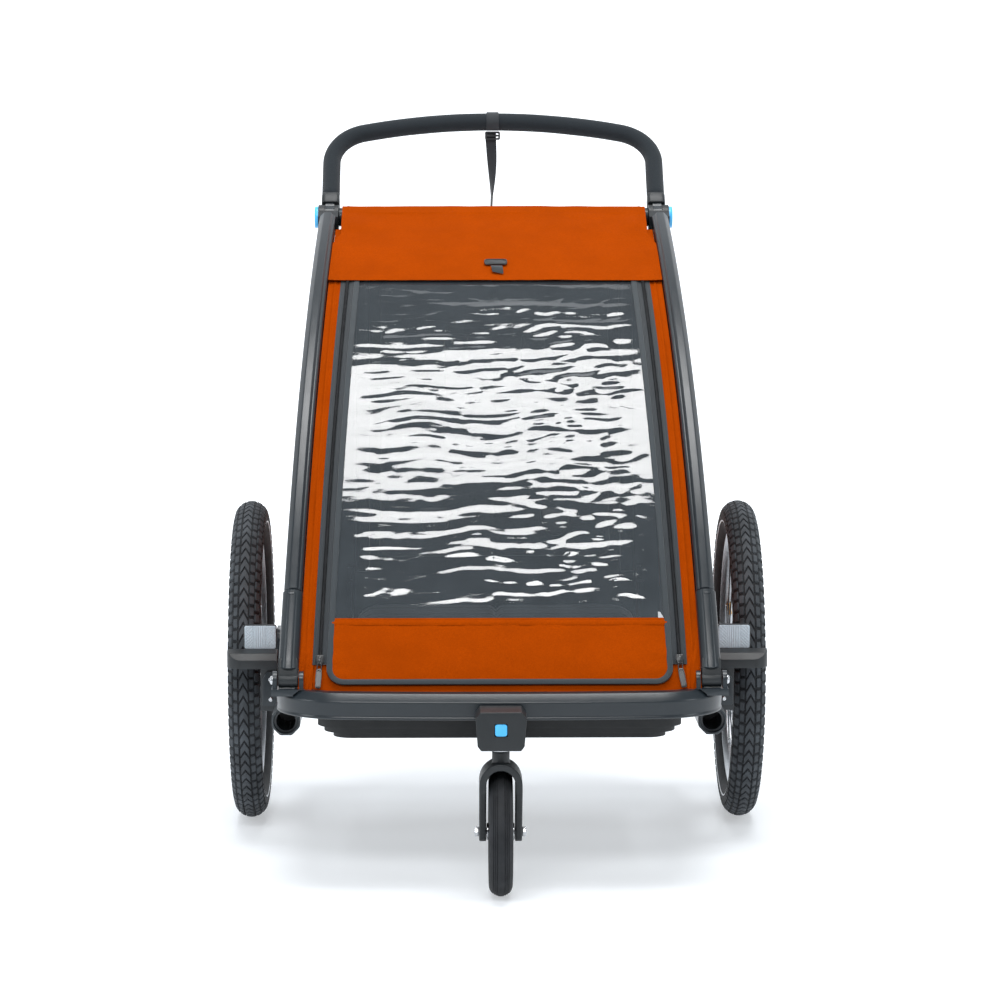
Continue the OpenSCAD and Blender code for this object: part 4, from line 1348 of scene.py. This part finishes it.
def flap():
    """Orange panel under the window, with rounded lower corners."""
    corner = 26
    bottom = COVER_END - 0.2

    def point(u, v):
        angle = WINDOW_END - 0.12 + (bottom - WINDOW_END + 0.12) * v
        y, z = curve_point(angle)
        half = pillar_x(y, z) - ZIP_IN - 6
        rest = math.radians(bottom - angle) * PILLAR_R
        if rest < corner:
            half -= corner - math.sqrt(max(0.0, corner ** 2 - (corner - rest) ** 2))
        x = (2 * u - 1) * half
        pull = 1.1 * wavy(x / 42, v * 2.6, 3.7)
        pull += 0.45 * wavy(x / 15, v * 5, 9.1)
        corner_pull = math.exp(-((abs(2 * u - 1) - 0.95) / 0.09) ** 2) * math.sin(v * 22 + u * 9) * 0.7
        fade = min(1.0, v * 9) * min(1.0, (1 - v) * 7)
        y, z = curve_point(angle, 4.0 + fade * (pull + corner_pull * v))
        return x, y, z

    cloth = sheet_mesh("lower_flap_cloth", 190, 56, point, 0.9)
    settle(cloth, "canvas", "front_frame", 60, ["lower_flap"])

    def seam(u, v):
        angle = WINDOW_END + 0.02 + 0.32 * v
        y, z = curve_point(angle)
        x = (2 * u - 1) * (pillar_x(y, z) - ZIP_IN - 4)
        puff = 0.8 * math.sin(math.pi * v)
        y, z = curve_point(angle, 4.4 + puff + 0.15 * math.sin(u * 700))
        return x, y, z

    obj = sheet_mesh("window_lower_seam", 400, 8, seam, 0.8)
    settle(obj, "canvas", "front_frame", 60)

    def under(u, v):
        angle = CURVE_END - 2.2 + 3.3 * v
        y, z = curve_point(angle)
        x = (2 * u - 1) * (pillar_x(y, z) - 19)
        side = max(0.0, abs(2 * u - 1) - 0.8) / 0.2
        fold = side * (2.6 * wavy(x / 14, v * 3.5, 2.0) + 0.6)
        y, z = curve_point(angle, -0.6 + 0.7 * wavy(x / 60, v * 2, 1) + fold)
        return x, y, z

    obj = sheet_mesh("cover_lower_edge", 200, 26, under, 0.8)
    settle(obj, "canvas", "front_frame", 60)


def hood():
    """Canvas over the top tube and down to the window, with a sewn hem and side seams."""
    tube = (TOP[0], TOP[1])
    lift = 7.2
    path = []
    steps = 90
    start_angle = CURVE_START + 1.2
    for i in range(steps + 1):
        path.append(curve_point(HOOD_HEM + (start_angle - HOOD_HEM) * i / steps, lift))
    for i in range(1, 40):
        a = math.radians(118 - (118 + 28) * (i - 1) / 38)
        path.append((tube[0] + 17.4 * math.cos(a), tube[1] + 17.4 * math.sin(a)))
    y2, z2 = path[-1]
    for i in range(1, 10):
        path.append((y2 - 0.35 * i, z2 - 3.4 * i))
    lengths = [0.0]
    for a, b in zip(path, path[1:]):
        lengths.append(lengths[-1] + math.dist(a, b))
    total = lengths[-1]

    def along(v):
        want = v * total
        for i in range(1, len(lengths)):
            if lengths[i] >= want:
                t = (want - lengths[i - 1]) / (lengths[i] - lengths[i - 1])
                a, b = path[i - 1], path[i]
                nxt = path[min(len(path) - 1, i + 1)]
                prev = path[max(0, i - 2)]
                d = Vector((nxt[0] - prev[0], nxt[1] - prev[1])).normalized()
                return a[0] + (b[0] - a[0]) * t, a[1] + (b[1] - a[1]) * t, d
        return path[-1][0], path[-1][1], Vector((0, -1))

    def point(u, v):
        y, z, d = along(v)
        out = Vector((d.y, -d.x))
        if out.y < 0 and v < 0.7:
            out = -out
        hem = v * total
        half = 244.5
        if hem < 150:
            half = max(half, pillar_x(y, z) - 13.8 - 12 * max(0.0, hem - 110) / 40)
        x = (2 * u - 1) * half
        wave = 1.5 * wavy(x / 95, hem / 42, 1.3)
        wave += 0.9 * wavy(x / 34, hem / 17, 7.7)
        top = math.exp(-((hem - 178) / 30) ** 2)
        wave += top * 1.6 * wavy(x / 34, 0.3, 4.4)
        wave += top * 5.5 * math.exp(-((abs(x) - 224) / 15) ** 2)
        seams = 0.0
        for stitch in (7.0, 10.5):
            seams -= 0.5 * math.exp(-((hem - stitch) / 0.9) ** 2)
        seams += 0.55 if hem < 12 else 0.0
        edge = min(u, 1 - u) * 2 * half
        seams -= 0.45 * math.exp(-((edge - 9) / 1.0) ** 2)
        seams += 0.4 if edge < 9 else 0.0
        rise = 0.6 * wave + seams
        return x, y + out.x * rise, z + out.y * rise

    obj = sheet_mesh("hood_canvas", 210, 190, point, 0.9)
    settle(obj, "canvas", "front_frame", 60, ["hood"])
    tag()


def tag():
    """Small blank rubber patch with a webbing loop, in the middle of the hood's hem."""
    a = math.radians(119.4)
    m = at(1, *curve_point(119.4, 9.6)) @ Matrix.Rotation(a - math.pi / 2, 4, "X")
    outline = rounded(18, 8, 5.5, 5)
    patch = moved(prism(outline, 1.8, 0.5), m)
    bead = rings([[(x * s, y * t, z) for x, y in outline] for s, t, z in (
        (0.96, 0.9, 1.5), (0.94, 0.84, 2.3), (0.9, 0.76, 2.3), (0.88, 0.72, 1.5))], closed=True)
    piece("hood_pull_patch", merge([patch, moved(bead, m)]), "slider", "front_frame", 35)
    path = []
    for k in range(19):
        t = k / 18
        angle = 119.9 + 0.75 * t
        y, z = curve_point(angle, 10.8 + 3.0 * math.sin(math.pi * t))
        path.append((Vector((2 + 2 * t, y, z)), Vector((0.05, 0.8, -0.6)), 0.25 * t, 1.0))
    piece("hood_pull_loop", ribbon_mesh(path, 9, 1.6), "webbing", "front_frame", 50)


def slider(side):
    """Zip slider with its bridge and a moulded pull with a slot."""
    name = NAMES[side]
    base = pillar_frame(side) @ turned(SLIDER_ANGLE, "Z")
    # local frame: X across the zip, Y down the zip, Z out of the cover
    local = Matrix(((0, 0, 1, 0), (0, 1, 0, 0), (-1, 0, 0, 0), (0, 0, 0, 1)))
    m = base @ at(PILLAR_R + 5.2, 0, -(GUSSET_IN + ZIP_IN) / 2) @ local
    body = fillet([(-5.4, -8), (5.4, -8), (5.8, -2), (3.4, 7), (-3.4, 7), (-5.8, -2)], 2, 4)
    lower = prism(body, 1.6, 0.5)
    upper = moved(prism(body, 1.6, 0.6), at(0, 0, 2.6))
    web = moved(prism(fillet([(-1.2, -5), (1.2, -5), (1.2, 3), (-1.2, 3)], 0.6), 2.4, 0.2), at(0, 0, 1))
    bridge_path = []
    for k in range(13):
        t = math.pi * k / 12
        bridge_path.append((Vector((0, 6 * math.cos(t) * -1, 4.0 + 2.6 * math.sin(t))),
                            Vector((0, math.sin(t), math.cos(t))), 0.0, 1.0))
    bridge = ribbon_mesh(bridge_path, 1.8, 1.1)
    ring = [(x, y + 11, 5.2) for x, y in rounded(3, 6, 2.6, 5)]
    wire = []
    for i, p in enumerate(ring):
        q = Vector(ring[(i + 1) % len(ring)]) - Vector(ring[i - 1])
        d = q.normalized()
        n = Vector((0, 0, 1))
        b = d.cross(n)
        wire.append([tuple(Vector(p) + n * (0.8 * math.cos(t)) + b * (0.8 * math.sin(t)))
                     for t in (2 * math.pi * j / 8 for j in range(8))])
    loop = rings(wire, closed=True)
    pull = fillet([(-4, 0), (4, 0), (4.6, 12), (3.9, 29), (-3.9, 29), (-4.6, 12)], 2.4, 4)
    levels = [(scaled(pull_shift(pull), 1.2), 0), (pull_shift(pull), 0.9), (pull_shift(pull), 2.2),
              (scaled(pull_shift(pull), 1.0), 3.0), (scaled(pull_shift(pull), 2.6), 3.0),
              (scaled(pull_shift(pull), 3.4), 2.3)]
    lean = at(0, 14, 4.2) @ turned(-3, "X") @ turned(7 if side > 0 else 1, "Z") @ at(0, 14.5, 0)
    tab = moved(stack(levels), lean)
    parts = (lower, upper, web, bridge, loop, tab)
    piece("zip_slider_body_" + name, merge([moved(p, m) for p in parts]),
          "slider", "slider_" + name, 40, ["zip_slider_" + name])


def pull_shift(outline):
    return [(x, y - 14.5) for x, y in outline]


# ---------------------------------------------------------------- cabin

SIDE_FRONT = -498
SIDE_BACK = 226
SIDE_LOW = 292


def side_top(y):
    """Height of the side panel's upper edge: under the pillar, then down the back edge."""
    r = PILLAR_R - 22
    under = CENTRE[1] + math.sqrt(max(0.0, r * r - (y - CENTRE[0]) ** 2))
    if y <= 148:
        return under
    return min(under, 888 - (y - 148) * (888 - 700) / (228 - 148))


def side_x(y, z):
    """Distance of the side canvas from the middle."""
    return pillar_x(y, z) - 5.5


def side_panel(side):
    """Canvas side with a dark mesh window inside a piped edge, slack between its seams."""
    def surface(u, v):
        y = SIDE_FRONT + (SIDE_BACK - SIDE_FRONT) * u
        z = SIDE_LOW + (side_top(y) - SIDE_LOW) * v
        x = side_x(y, z)
        fade = min(1.0, min(u, 1 - u) * 8) * min(1.0, min(v, 1 - v) * 8)
        slack = 2.4 * ripple(y, z, 0, 120, side * 3.0) + 1.0 * ripple(y, z, 5, 38, side * 2.0)
        crease = 1.2 * math.sin((z - y * 0.4) / 17) * math.exp(-((u - 0.9) / 0.12) ** 2)
        return side * (x + fade * (slack - 1.5) + crease * fade), y, z

    name = NAMES[side]
    obj = sheet_mesh("side_canvas_" + name, 150, 130, surface, 0.9)

    def in_window(c):
        y = c.y / MM - SHIFT
        z = c.z / MM
        top = side_top(y) - 60
        return -330 < y < 150 and 520 < z < top and y > -330 + (z - 520) * 0.3

    for key in ("canvas", "mesh", "lining"):
        obj.data.materials.append(M[key])
    for polygon in obj.data.polygons:
        inside = polygon.normal.x * side < 0
        polygon.material_index = 1 if in_window(polygon.center) else 2 if inside else 0
    settle(obj, None, "base", 60, ["side_panel_" + name])
    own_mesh(obj)
    # round the window: along its top, down the back, along the bottom, up the front
    route = [(y, side_top(y) - 60) for y in range(-90, 150, 12)]
    route += [(150, z) for z in range(round(route[-1][1]) - 12, 520, -16)]
    route += [(y, 520) for y in range(150, -330, -16)]
    start = Vector((-330, 520))
    end = Vector(route[0])
    route += [tuple(start.lerp(end, k / 20)) for k in range(20)]
    skin = []
    count = len(route)
    for i, (y, z) in enumerate(route):
        u = (y - SIDE_FRONT) / (SIDE_BACK - SIDE_FRONT)
        v = (z - SIDE_LOW) / (side_top(y) - SIDE_LOW)
        x = surface(u, v)[0]
        ny, nz = route[(i + 1) % count]
        d = Vector((ny - y, nz - z)).normalized()
        out = Vector((-d.y, d.x))
        ring = []
        for across, lift in ((-5, 0.2), (-4.4, 1.3), (0, 1.8), (4.4, 1.3), (5, 0.2), (4.4, -0.8), (0, -1.2),
                             (-4.4, -0.8)):
            ring.append((x + side * lift, y + out.x * across, z + out.y * across))
        skin.append(ring)
    obj = piece("side_window_binding_" + name, rings(skin, closed=True), "binding", "base", 50)
    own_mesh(obj)


def rear_y(z):
    return 234 if z < 660 else 234 - (z - 660) * 27 / 265


def rear_half(z):
    return 273 - (z - 268) * (273 - 247) / 650


def rear_corner(side):
    """Strip that closes the cabin between the side canvas and the rear canvas."""
    def surface(u, v):
        low = SIDE_LOW + (886 - SIDE_LOW) * v
        y = min(SIDE_BACK - 1, 147 + (888 - low) * (228 - 148) / (888 - 700))
        front = Vector((side_x(y, low) - 0.5, y, low))
        high = SIDE_LOW + (916 - SIDE_LOW) * v
        back = Vector((rear_half(high) - 1, rear_y(high) - 3, high))
        p = front.lerp(back, u)
        bulge = 1.6 * math.sin(math.pi * u)
        return side * (p.x + bulge), p.y + bulge, p.z

    obj = sheet_mesh("rear_corner_" + NAMES[side], 16, 120, surface, 0.9)
    obj.data.materials.append(M["canvas"])
    obj.data.materials.append(M["lining"])
    for polygon in obj.data.polygons:
        polygon.material_index = 1 if polygon.normal.x * side < 0 else 0
    settle(obj, None, "base", 60)
    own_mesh(obj)


def rear_panel():
    """Back of the cabin: dark canvas with a bellows pocket and an orange yoke above it."""
    def surface(u, v):
        z = 268 + (918 - 268) * v
        y = rear_y(z)
        half = rear_half(z)
        x = (2 * u - 1) * half
        fade = min(1.0, min(u, 1 - u) * 8) * min(1.0, min(v, 1 - v) * 8)
        slack = 2.2 * ripple(x, z, 0, 130, 6.0) + 0.9 * ripple(x, z, 3, 36, 1.0)
        return x, y - 3 + fade * slack, z

    obj = sheet_mesh("rear_canvas", 120, 140, surface, 0.9)
    obj.data.materials.append(M["lining"])
    obj.data.materials.append(M["canvas"])
    for polygon in obj.data.polygons:
        outside = polygon.normal.y > 0 and polygon.center.z > mm(0, 0, 700).z
        polygon.material_index = 1 if outside else 0
    settle(obj, None, "base", 60, ["rear_panel"])
    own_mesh(obj)

    def pocket(u, v):
        z = 330 + 300 * v
        x = (2 * u - 1) * (205 - 4 * v)
        puff = math.sin(math.pi * min(1, max(0, u))) ** 0.35 * min(1.0, (1 - v) * 5 + 0.25) * min(1.0, v * 9)
        slack = 1.6 * ripple(x, z, 0, 70, 2.0)
        mouth = 2.0 * math.exp(-((v - 0.985) / 0.02) ** 2)
        return x, 233 + 9 * puff + slack * puff + mouth, z

    obj = sheet_mesh("rear_pocket", 110, 80, pocket, 0.9)
    settle(obj, "lining", "base", 60)
    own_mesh(obj)


def boot_floor():
    """Fabric floor behind the seat, sagging a little between the rails."""
    def surface(u, v):
        x = (2 * u - 1) * 283
        y = 17 + 186 * v
        sag = -1.6 * math.sin(math.pi * u) * math.sin(math.pi * v)
        return x, y, 211.5 + sag + 0.5 * ripple(x, y, 0, 45, 4.0)

    obj = sheet_mesh("boot_floor_cloth", 90, 34, surface, 2.4)
    settle(obj, "lining", "base", 60, ["boot_floor"])


def stuffed(obj, voxel, pressure, cap):
    """Swells a closed shape as padded cloth, and caps how far a point may move."""
    remesh = obj.modifiers.new("skin", "REMESH")
    remesh.mode = "VOXEL"
    remesh.voxel_size = voxel * MM
    apply_all(obj)
    start = [v.co.copy() for v in obj.data.vertices]
    cloth = obj.modifiers.new("cloth", "CLOTH")
    cloth.settings.use_pressure = True
    cloth.settings.uniform_pressure_force = pressure
    cloth.settings.effector_weights.gravity = 0
    cloth.settings.quality = 5
    cloth.point_cache.frame_start = 1
    cloth.point_cache.frame_end = 20
    scene = bpy.context.scene
    for f in range(1, 21):
        scene.frame_set(f)
    shown = obj.evaluated_get(bpy.context.evaluated_depsgraph_get())
    moved_to = [v.co.copy() for v in shown.data.vertices]
    obj.modifiers.clear()
    for vertex, a, b in zip(obj.data.vertices, start, moved_to):
        step = b - a
        if step.length > cap * MM:
            step = step.normalized() * cap * MM
        vertex.co = a + step
    scene.frame_set(1)
    subdivide = obj.modifiers.new("fine", "SUBSURF")
    subdivide.levels = 1
    apply_all(obj)


def pad(outline, thick, inset):
    """Closed pad between Z 0 and thick with a rounded rim, in its own frame."""
    levels = ((0, inset * 1.4), (0.12, inset * 0.5), (0.5, 0), (0.88, inset * 0.5), (1, inset * 1.4))
    skin = [[(x, y, thick * z) for x, y in scaled(outline, d)] for z, d in levels]
    return rings(skin)


def dent(obj, frame_in, depth_at):
    """Presses sewn channels into a pad: depth_at(x, y, z) in the pad's own frame, in millimetres."""
    back = frame_in.inverted()
    for vertex in obj.data.vertices:
        p = vertex.co
        local = back @ Vector((p.x / MM, p.y / MM - SHIFT, p.z / MM))
        depth = depth_at(local.x, local.y, local.z)
        if depth:
            local.z -= depth
            world = frame_in @ local
            vertex.co = mm(*world)


def seats():
    """Cushion and back, each quilted into two seats, swollen by cloth simulation."""
    base = at(0, -122, 300)
    outline = rounded(224, 90, 30, 8)
    obj = link("seat_pad", *moved(pad(outline, 36, 9), base))
    stuffed(obj, 5, 4, 8)

    def cushion_seams(x, y, z):
        if z < 12:
            return 0
        channel = 6.5 * math.exp(-(x / 5) ** 2)
        for line in (-45, 25):
            channel += 3.2 * math.exp(-((y - line) / 3.2) ** 2)
        return channel

    dent(obj, base, cushion_seams)
    settle(obj, "pad", "base", 60, ["seat_cushion"])
    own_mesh(obj)

    base = hoop_frame()
    length = math.hypot(30 - HOOP[0], 385 - HOOP[1])
    # Y runs down the back and Z to the rear in the hoop's frame, so the pad's face has the lowest Z
    middle = base @ at(0, 28 + (length - 40) / 2, -7)
    outline = rounded(189, length / 2 - 25, 30, 8)
    obj = link("seat_back_pad", *moved(pad(outline, 16, 7), middle))
    stuffed(obj, 5, 3, 6)

    def back_seams(x, y, z):
        rear = -1 if z < 8 else 1
        channel = 4.5 * math.exp(-(x / 4.5) ** 2)
        for line in (-150, -40, 70, 160):
            channel += 2.4 * math.exp(-((y - line) / 3.0) ** 2)
        return channel * rear

    dent(obj, middle, back_seams)
    settle(obj, "pad", "rear_hoop", 60, ["seat_back"])


def harness():
    """Five-point webbing for two seats: shoulder straps with pads, chest links and buckles."""
    base = hoop_frame()
    straps = []
    pads = []
    buckles = []
    for seat in (-95, 95):
        for way in (-1, 1):
            path = []
            for k in range(41):
                t = k / 40
                x = seat + way * (34 - 10 * max(0.0, t - 0.55) / 0.45)
                y = 105 + 335 * t
                z = -12.5 - 4.5 * math.sin(math.pi * t) - 2.0 * math.sin(5 * t)
                path.append((Vector((x, y, z)), Vector((-way * 0.02, 1, 0)), 0.05 * math.sin(6 * t), 1.0))
            straps.append(ribbon_mesh(path, 12.5, 1.6))
            outline = rounded(19, 62, 12, 5)
            soft = pad(outline, 9, 3)
            place = at(seat + way * 34, 190, -21.5)
            pads.append(moved(soft, place))
            buckles.append(moved(prism(rounded(16, 5, 2), 5, 0.8),
                                 at(seat + way * 33, 292, -20.5)))
        chest = []
        for k in range(13):
            t = k / 12
            chest.append(Vector((seat - 34 + 68 * t, 262, -21 - 2 * math.sin(math.pi * t))))
        straps.append(turned_ribbon(chest, 8, 1.5))
        buckles.append(moved(prism(rounded(14, 11, 4), 7, 1.4),
                             at(seat, 262, -28)))
        shield = fillet([(-24, -20), (24, -20), (20, 12), (8, 24), (-8, 24), (-20, 12)], 7, 4)
        buckles.append(moved(prism(shield, 11, 2.5), at(seat, 428, -32)))
    piece("harness_webbing", moved(merge(straps), base), "webbing", "rear_hoop", 50, ["harness"])
    obj = link("harness_shoulder_pads", *moved(merge(pads), base))
    soften_with = obj.modifiers.new("round", "SUBSURF")
    soften_with.levels = 2
    apply_all(obj)
    settle(obj, "pad", "rear_hoop", 60)
    piece("harness_buckles", moved(merge(buckles), base), "slider", "rear_hoop", 35)


def turned_ribbon(points, half, thick):
    """Flat strap that runs along X, wide along Y."""
    skin = []
    for point in points:
        skin.append([(point.x, point.y + a, point.z + b) for a, b in strap_section(half, thick / 2)])
    return rings(skin)


# ---------------------------------------------------------------- camera, floor and light

def camera():
    """Long lens, a little above the handle's height and turned slightly to the right."""
    lens = bpy.data.cameras.new("camera")
    lens.sensor_width = 36
    lens.lens = 126
    lens.clip_end = 60
    obj = bpy.data.objects.new("camera", lens)
    bpy.context.scene.collection.objects.link(obj)
    obj.location = mm(-70, -5498, 1080)
    obj.rotation_euler = (math.radians(84.0), 0, math.radians(-0.81))
    bpy.context.scene.camera = obj


def area_light(name, place, aim, size, power, colour=(1, 1, 1)):
    lamp = bpy.data.lights.new(name, "AREA")
    lamp.shape = "RECTANGLE"
    lamp.size, lamp.size_y = size
    lamp.energy = power
    lamp.color = colour
    obj = bpy.data.objects.new(name, lamp)
    bpy.context.scene.collection.objects.link(obj)
    obj.location = place
    obj.rotation_euler = (Vector(aim) - Vector(place)).to_track_quat("-Z", "Y").to_euler()


def studio():
    """Paper sweep that rises behind the trailer, a wide softbox overhead and softer ones at both sides."""
    profile = [(-14, 0)] + [(-14 + 16.5 * k / 12, 0) for k in range(1, 13)]
    profile += [(2.5 + 3.5 * math.sin(math.radians(5 * k)), 3.5 - 3.5 * math.cos(math.radians(5 * k)))
                for k in range(1, 19)]
    profile += [(6.0, 3.5 + 2.0 * k) for k in range(1, 6)]
    mesh = bpy.data.meshes.new("paper_sweep")
    verts = [(x, y, z - 0.0005) for y, z in profile for x in (-20, 20)]
    faces = [(2 * k, 2 * k + 1, 2 * k + 3, 2 * k + 2) for k in range(len(profile) - 1)]
    mesh.from_pydata(verts, [], faces)
    mesh.shade_smooth()
    paper = bpy.data.objects.new("paper_sweep", mesh)
    bpy.context.scene.collection.objects.link(paper)
    look = Look("paper", 0.8, Specular_IOR_Level=0.1)
    look.colour(look.mix(look.noise(0.7, 3), srgb(204, 208, 212), srgb(210, 214, 218)))
    place = look.nodes.new("ShaderNodeSeparateXYZ")
    look.links.new(look.coord, place.inputs[0])
    fade = look.nodes.new("ShaderNodeMapRange")
    fade.interpolation_type = "SMOOTHSTEP"
    fade.inputs["From Min"].default_value = 0.3
    fade.inputs["From Max"].default_value = 4.0
    fade.inputs["To Min"].default_value = 0.42
    fade.inputs["To Max"].default_value = 0.85
    look.links.new(place.outputs["Y"], fade.inputs["Value"])
    look.shader.inputs["Emission Color"].default_value = (0.97, 0.985, 1.0, 1)
    look.links.new(fade.outputs["Result"], look.shader.inputs["Emission Strength"])
    mesh.materials.append(look.mat)
    world = bpy.data.worlds.new("studio")
    world.use_nodes = True
    world.node_tree.nodes["Background"].inputs["Color"].default_value = (0.93, 0.96, 1.0, 1)
    world.node_tree.nodes["Background"].inputs["Strength"].default_value = 0.3
    bpy.context.scene.world = world
    area_light("overhead", (0.2, -0.45, 5.0), (0.2, -0.45, 0), (3.2, 2.0), 190)
    area_light("front_box", (-0.6, -4.6, 4.4), (0, 0, 0.6), (3.2, 1.2), 150)
    area_light("left_box", (-4.2, -1.6, 2.2), (0, 0, 0.6), (1.2, 2.6), 50, (0.92, 0.97, 1.0))
    area_light("right_box", (4.2, -1.8, 2.2), (0, 0, 0.6), (1.2, 2.6), 45, (0.92, 0.97, 1.0))
    bpy.context.scene.view_settings.view_transform = "Standard"


# ---------------------------------------------------------------- build

camera()
bumper()
for side in SIDES:
    side_rail(side)
machined_parts()
mount_trim()
for side in SIDES:
    reflector(side)
    guard_trim(side)
    pillar(side)
    sleeve(side)
    joint_trim(side)
pins()
grip()
wrist_strap()
for side in SIDES:
    tread_tyre(side)
    rim(side)
caster_wheel()
plain_nodes()
window()
gussets()
zips()
edge_tape()
flap()
hood()
for side in SIDES:
    slider(side)
    side_panel(side)
    rear_corner(side)
rear_panel()
boot_floor()
seats()
harness()
studio()
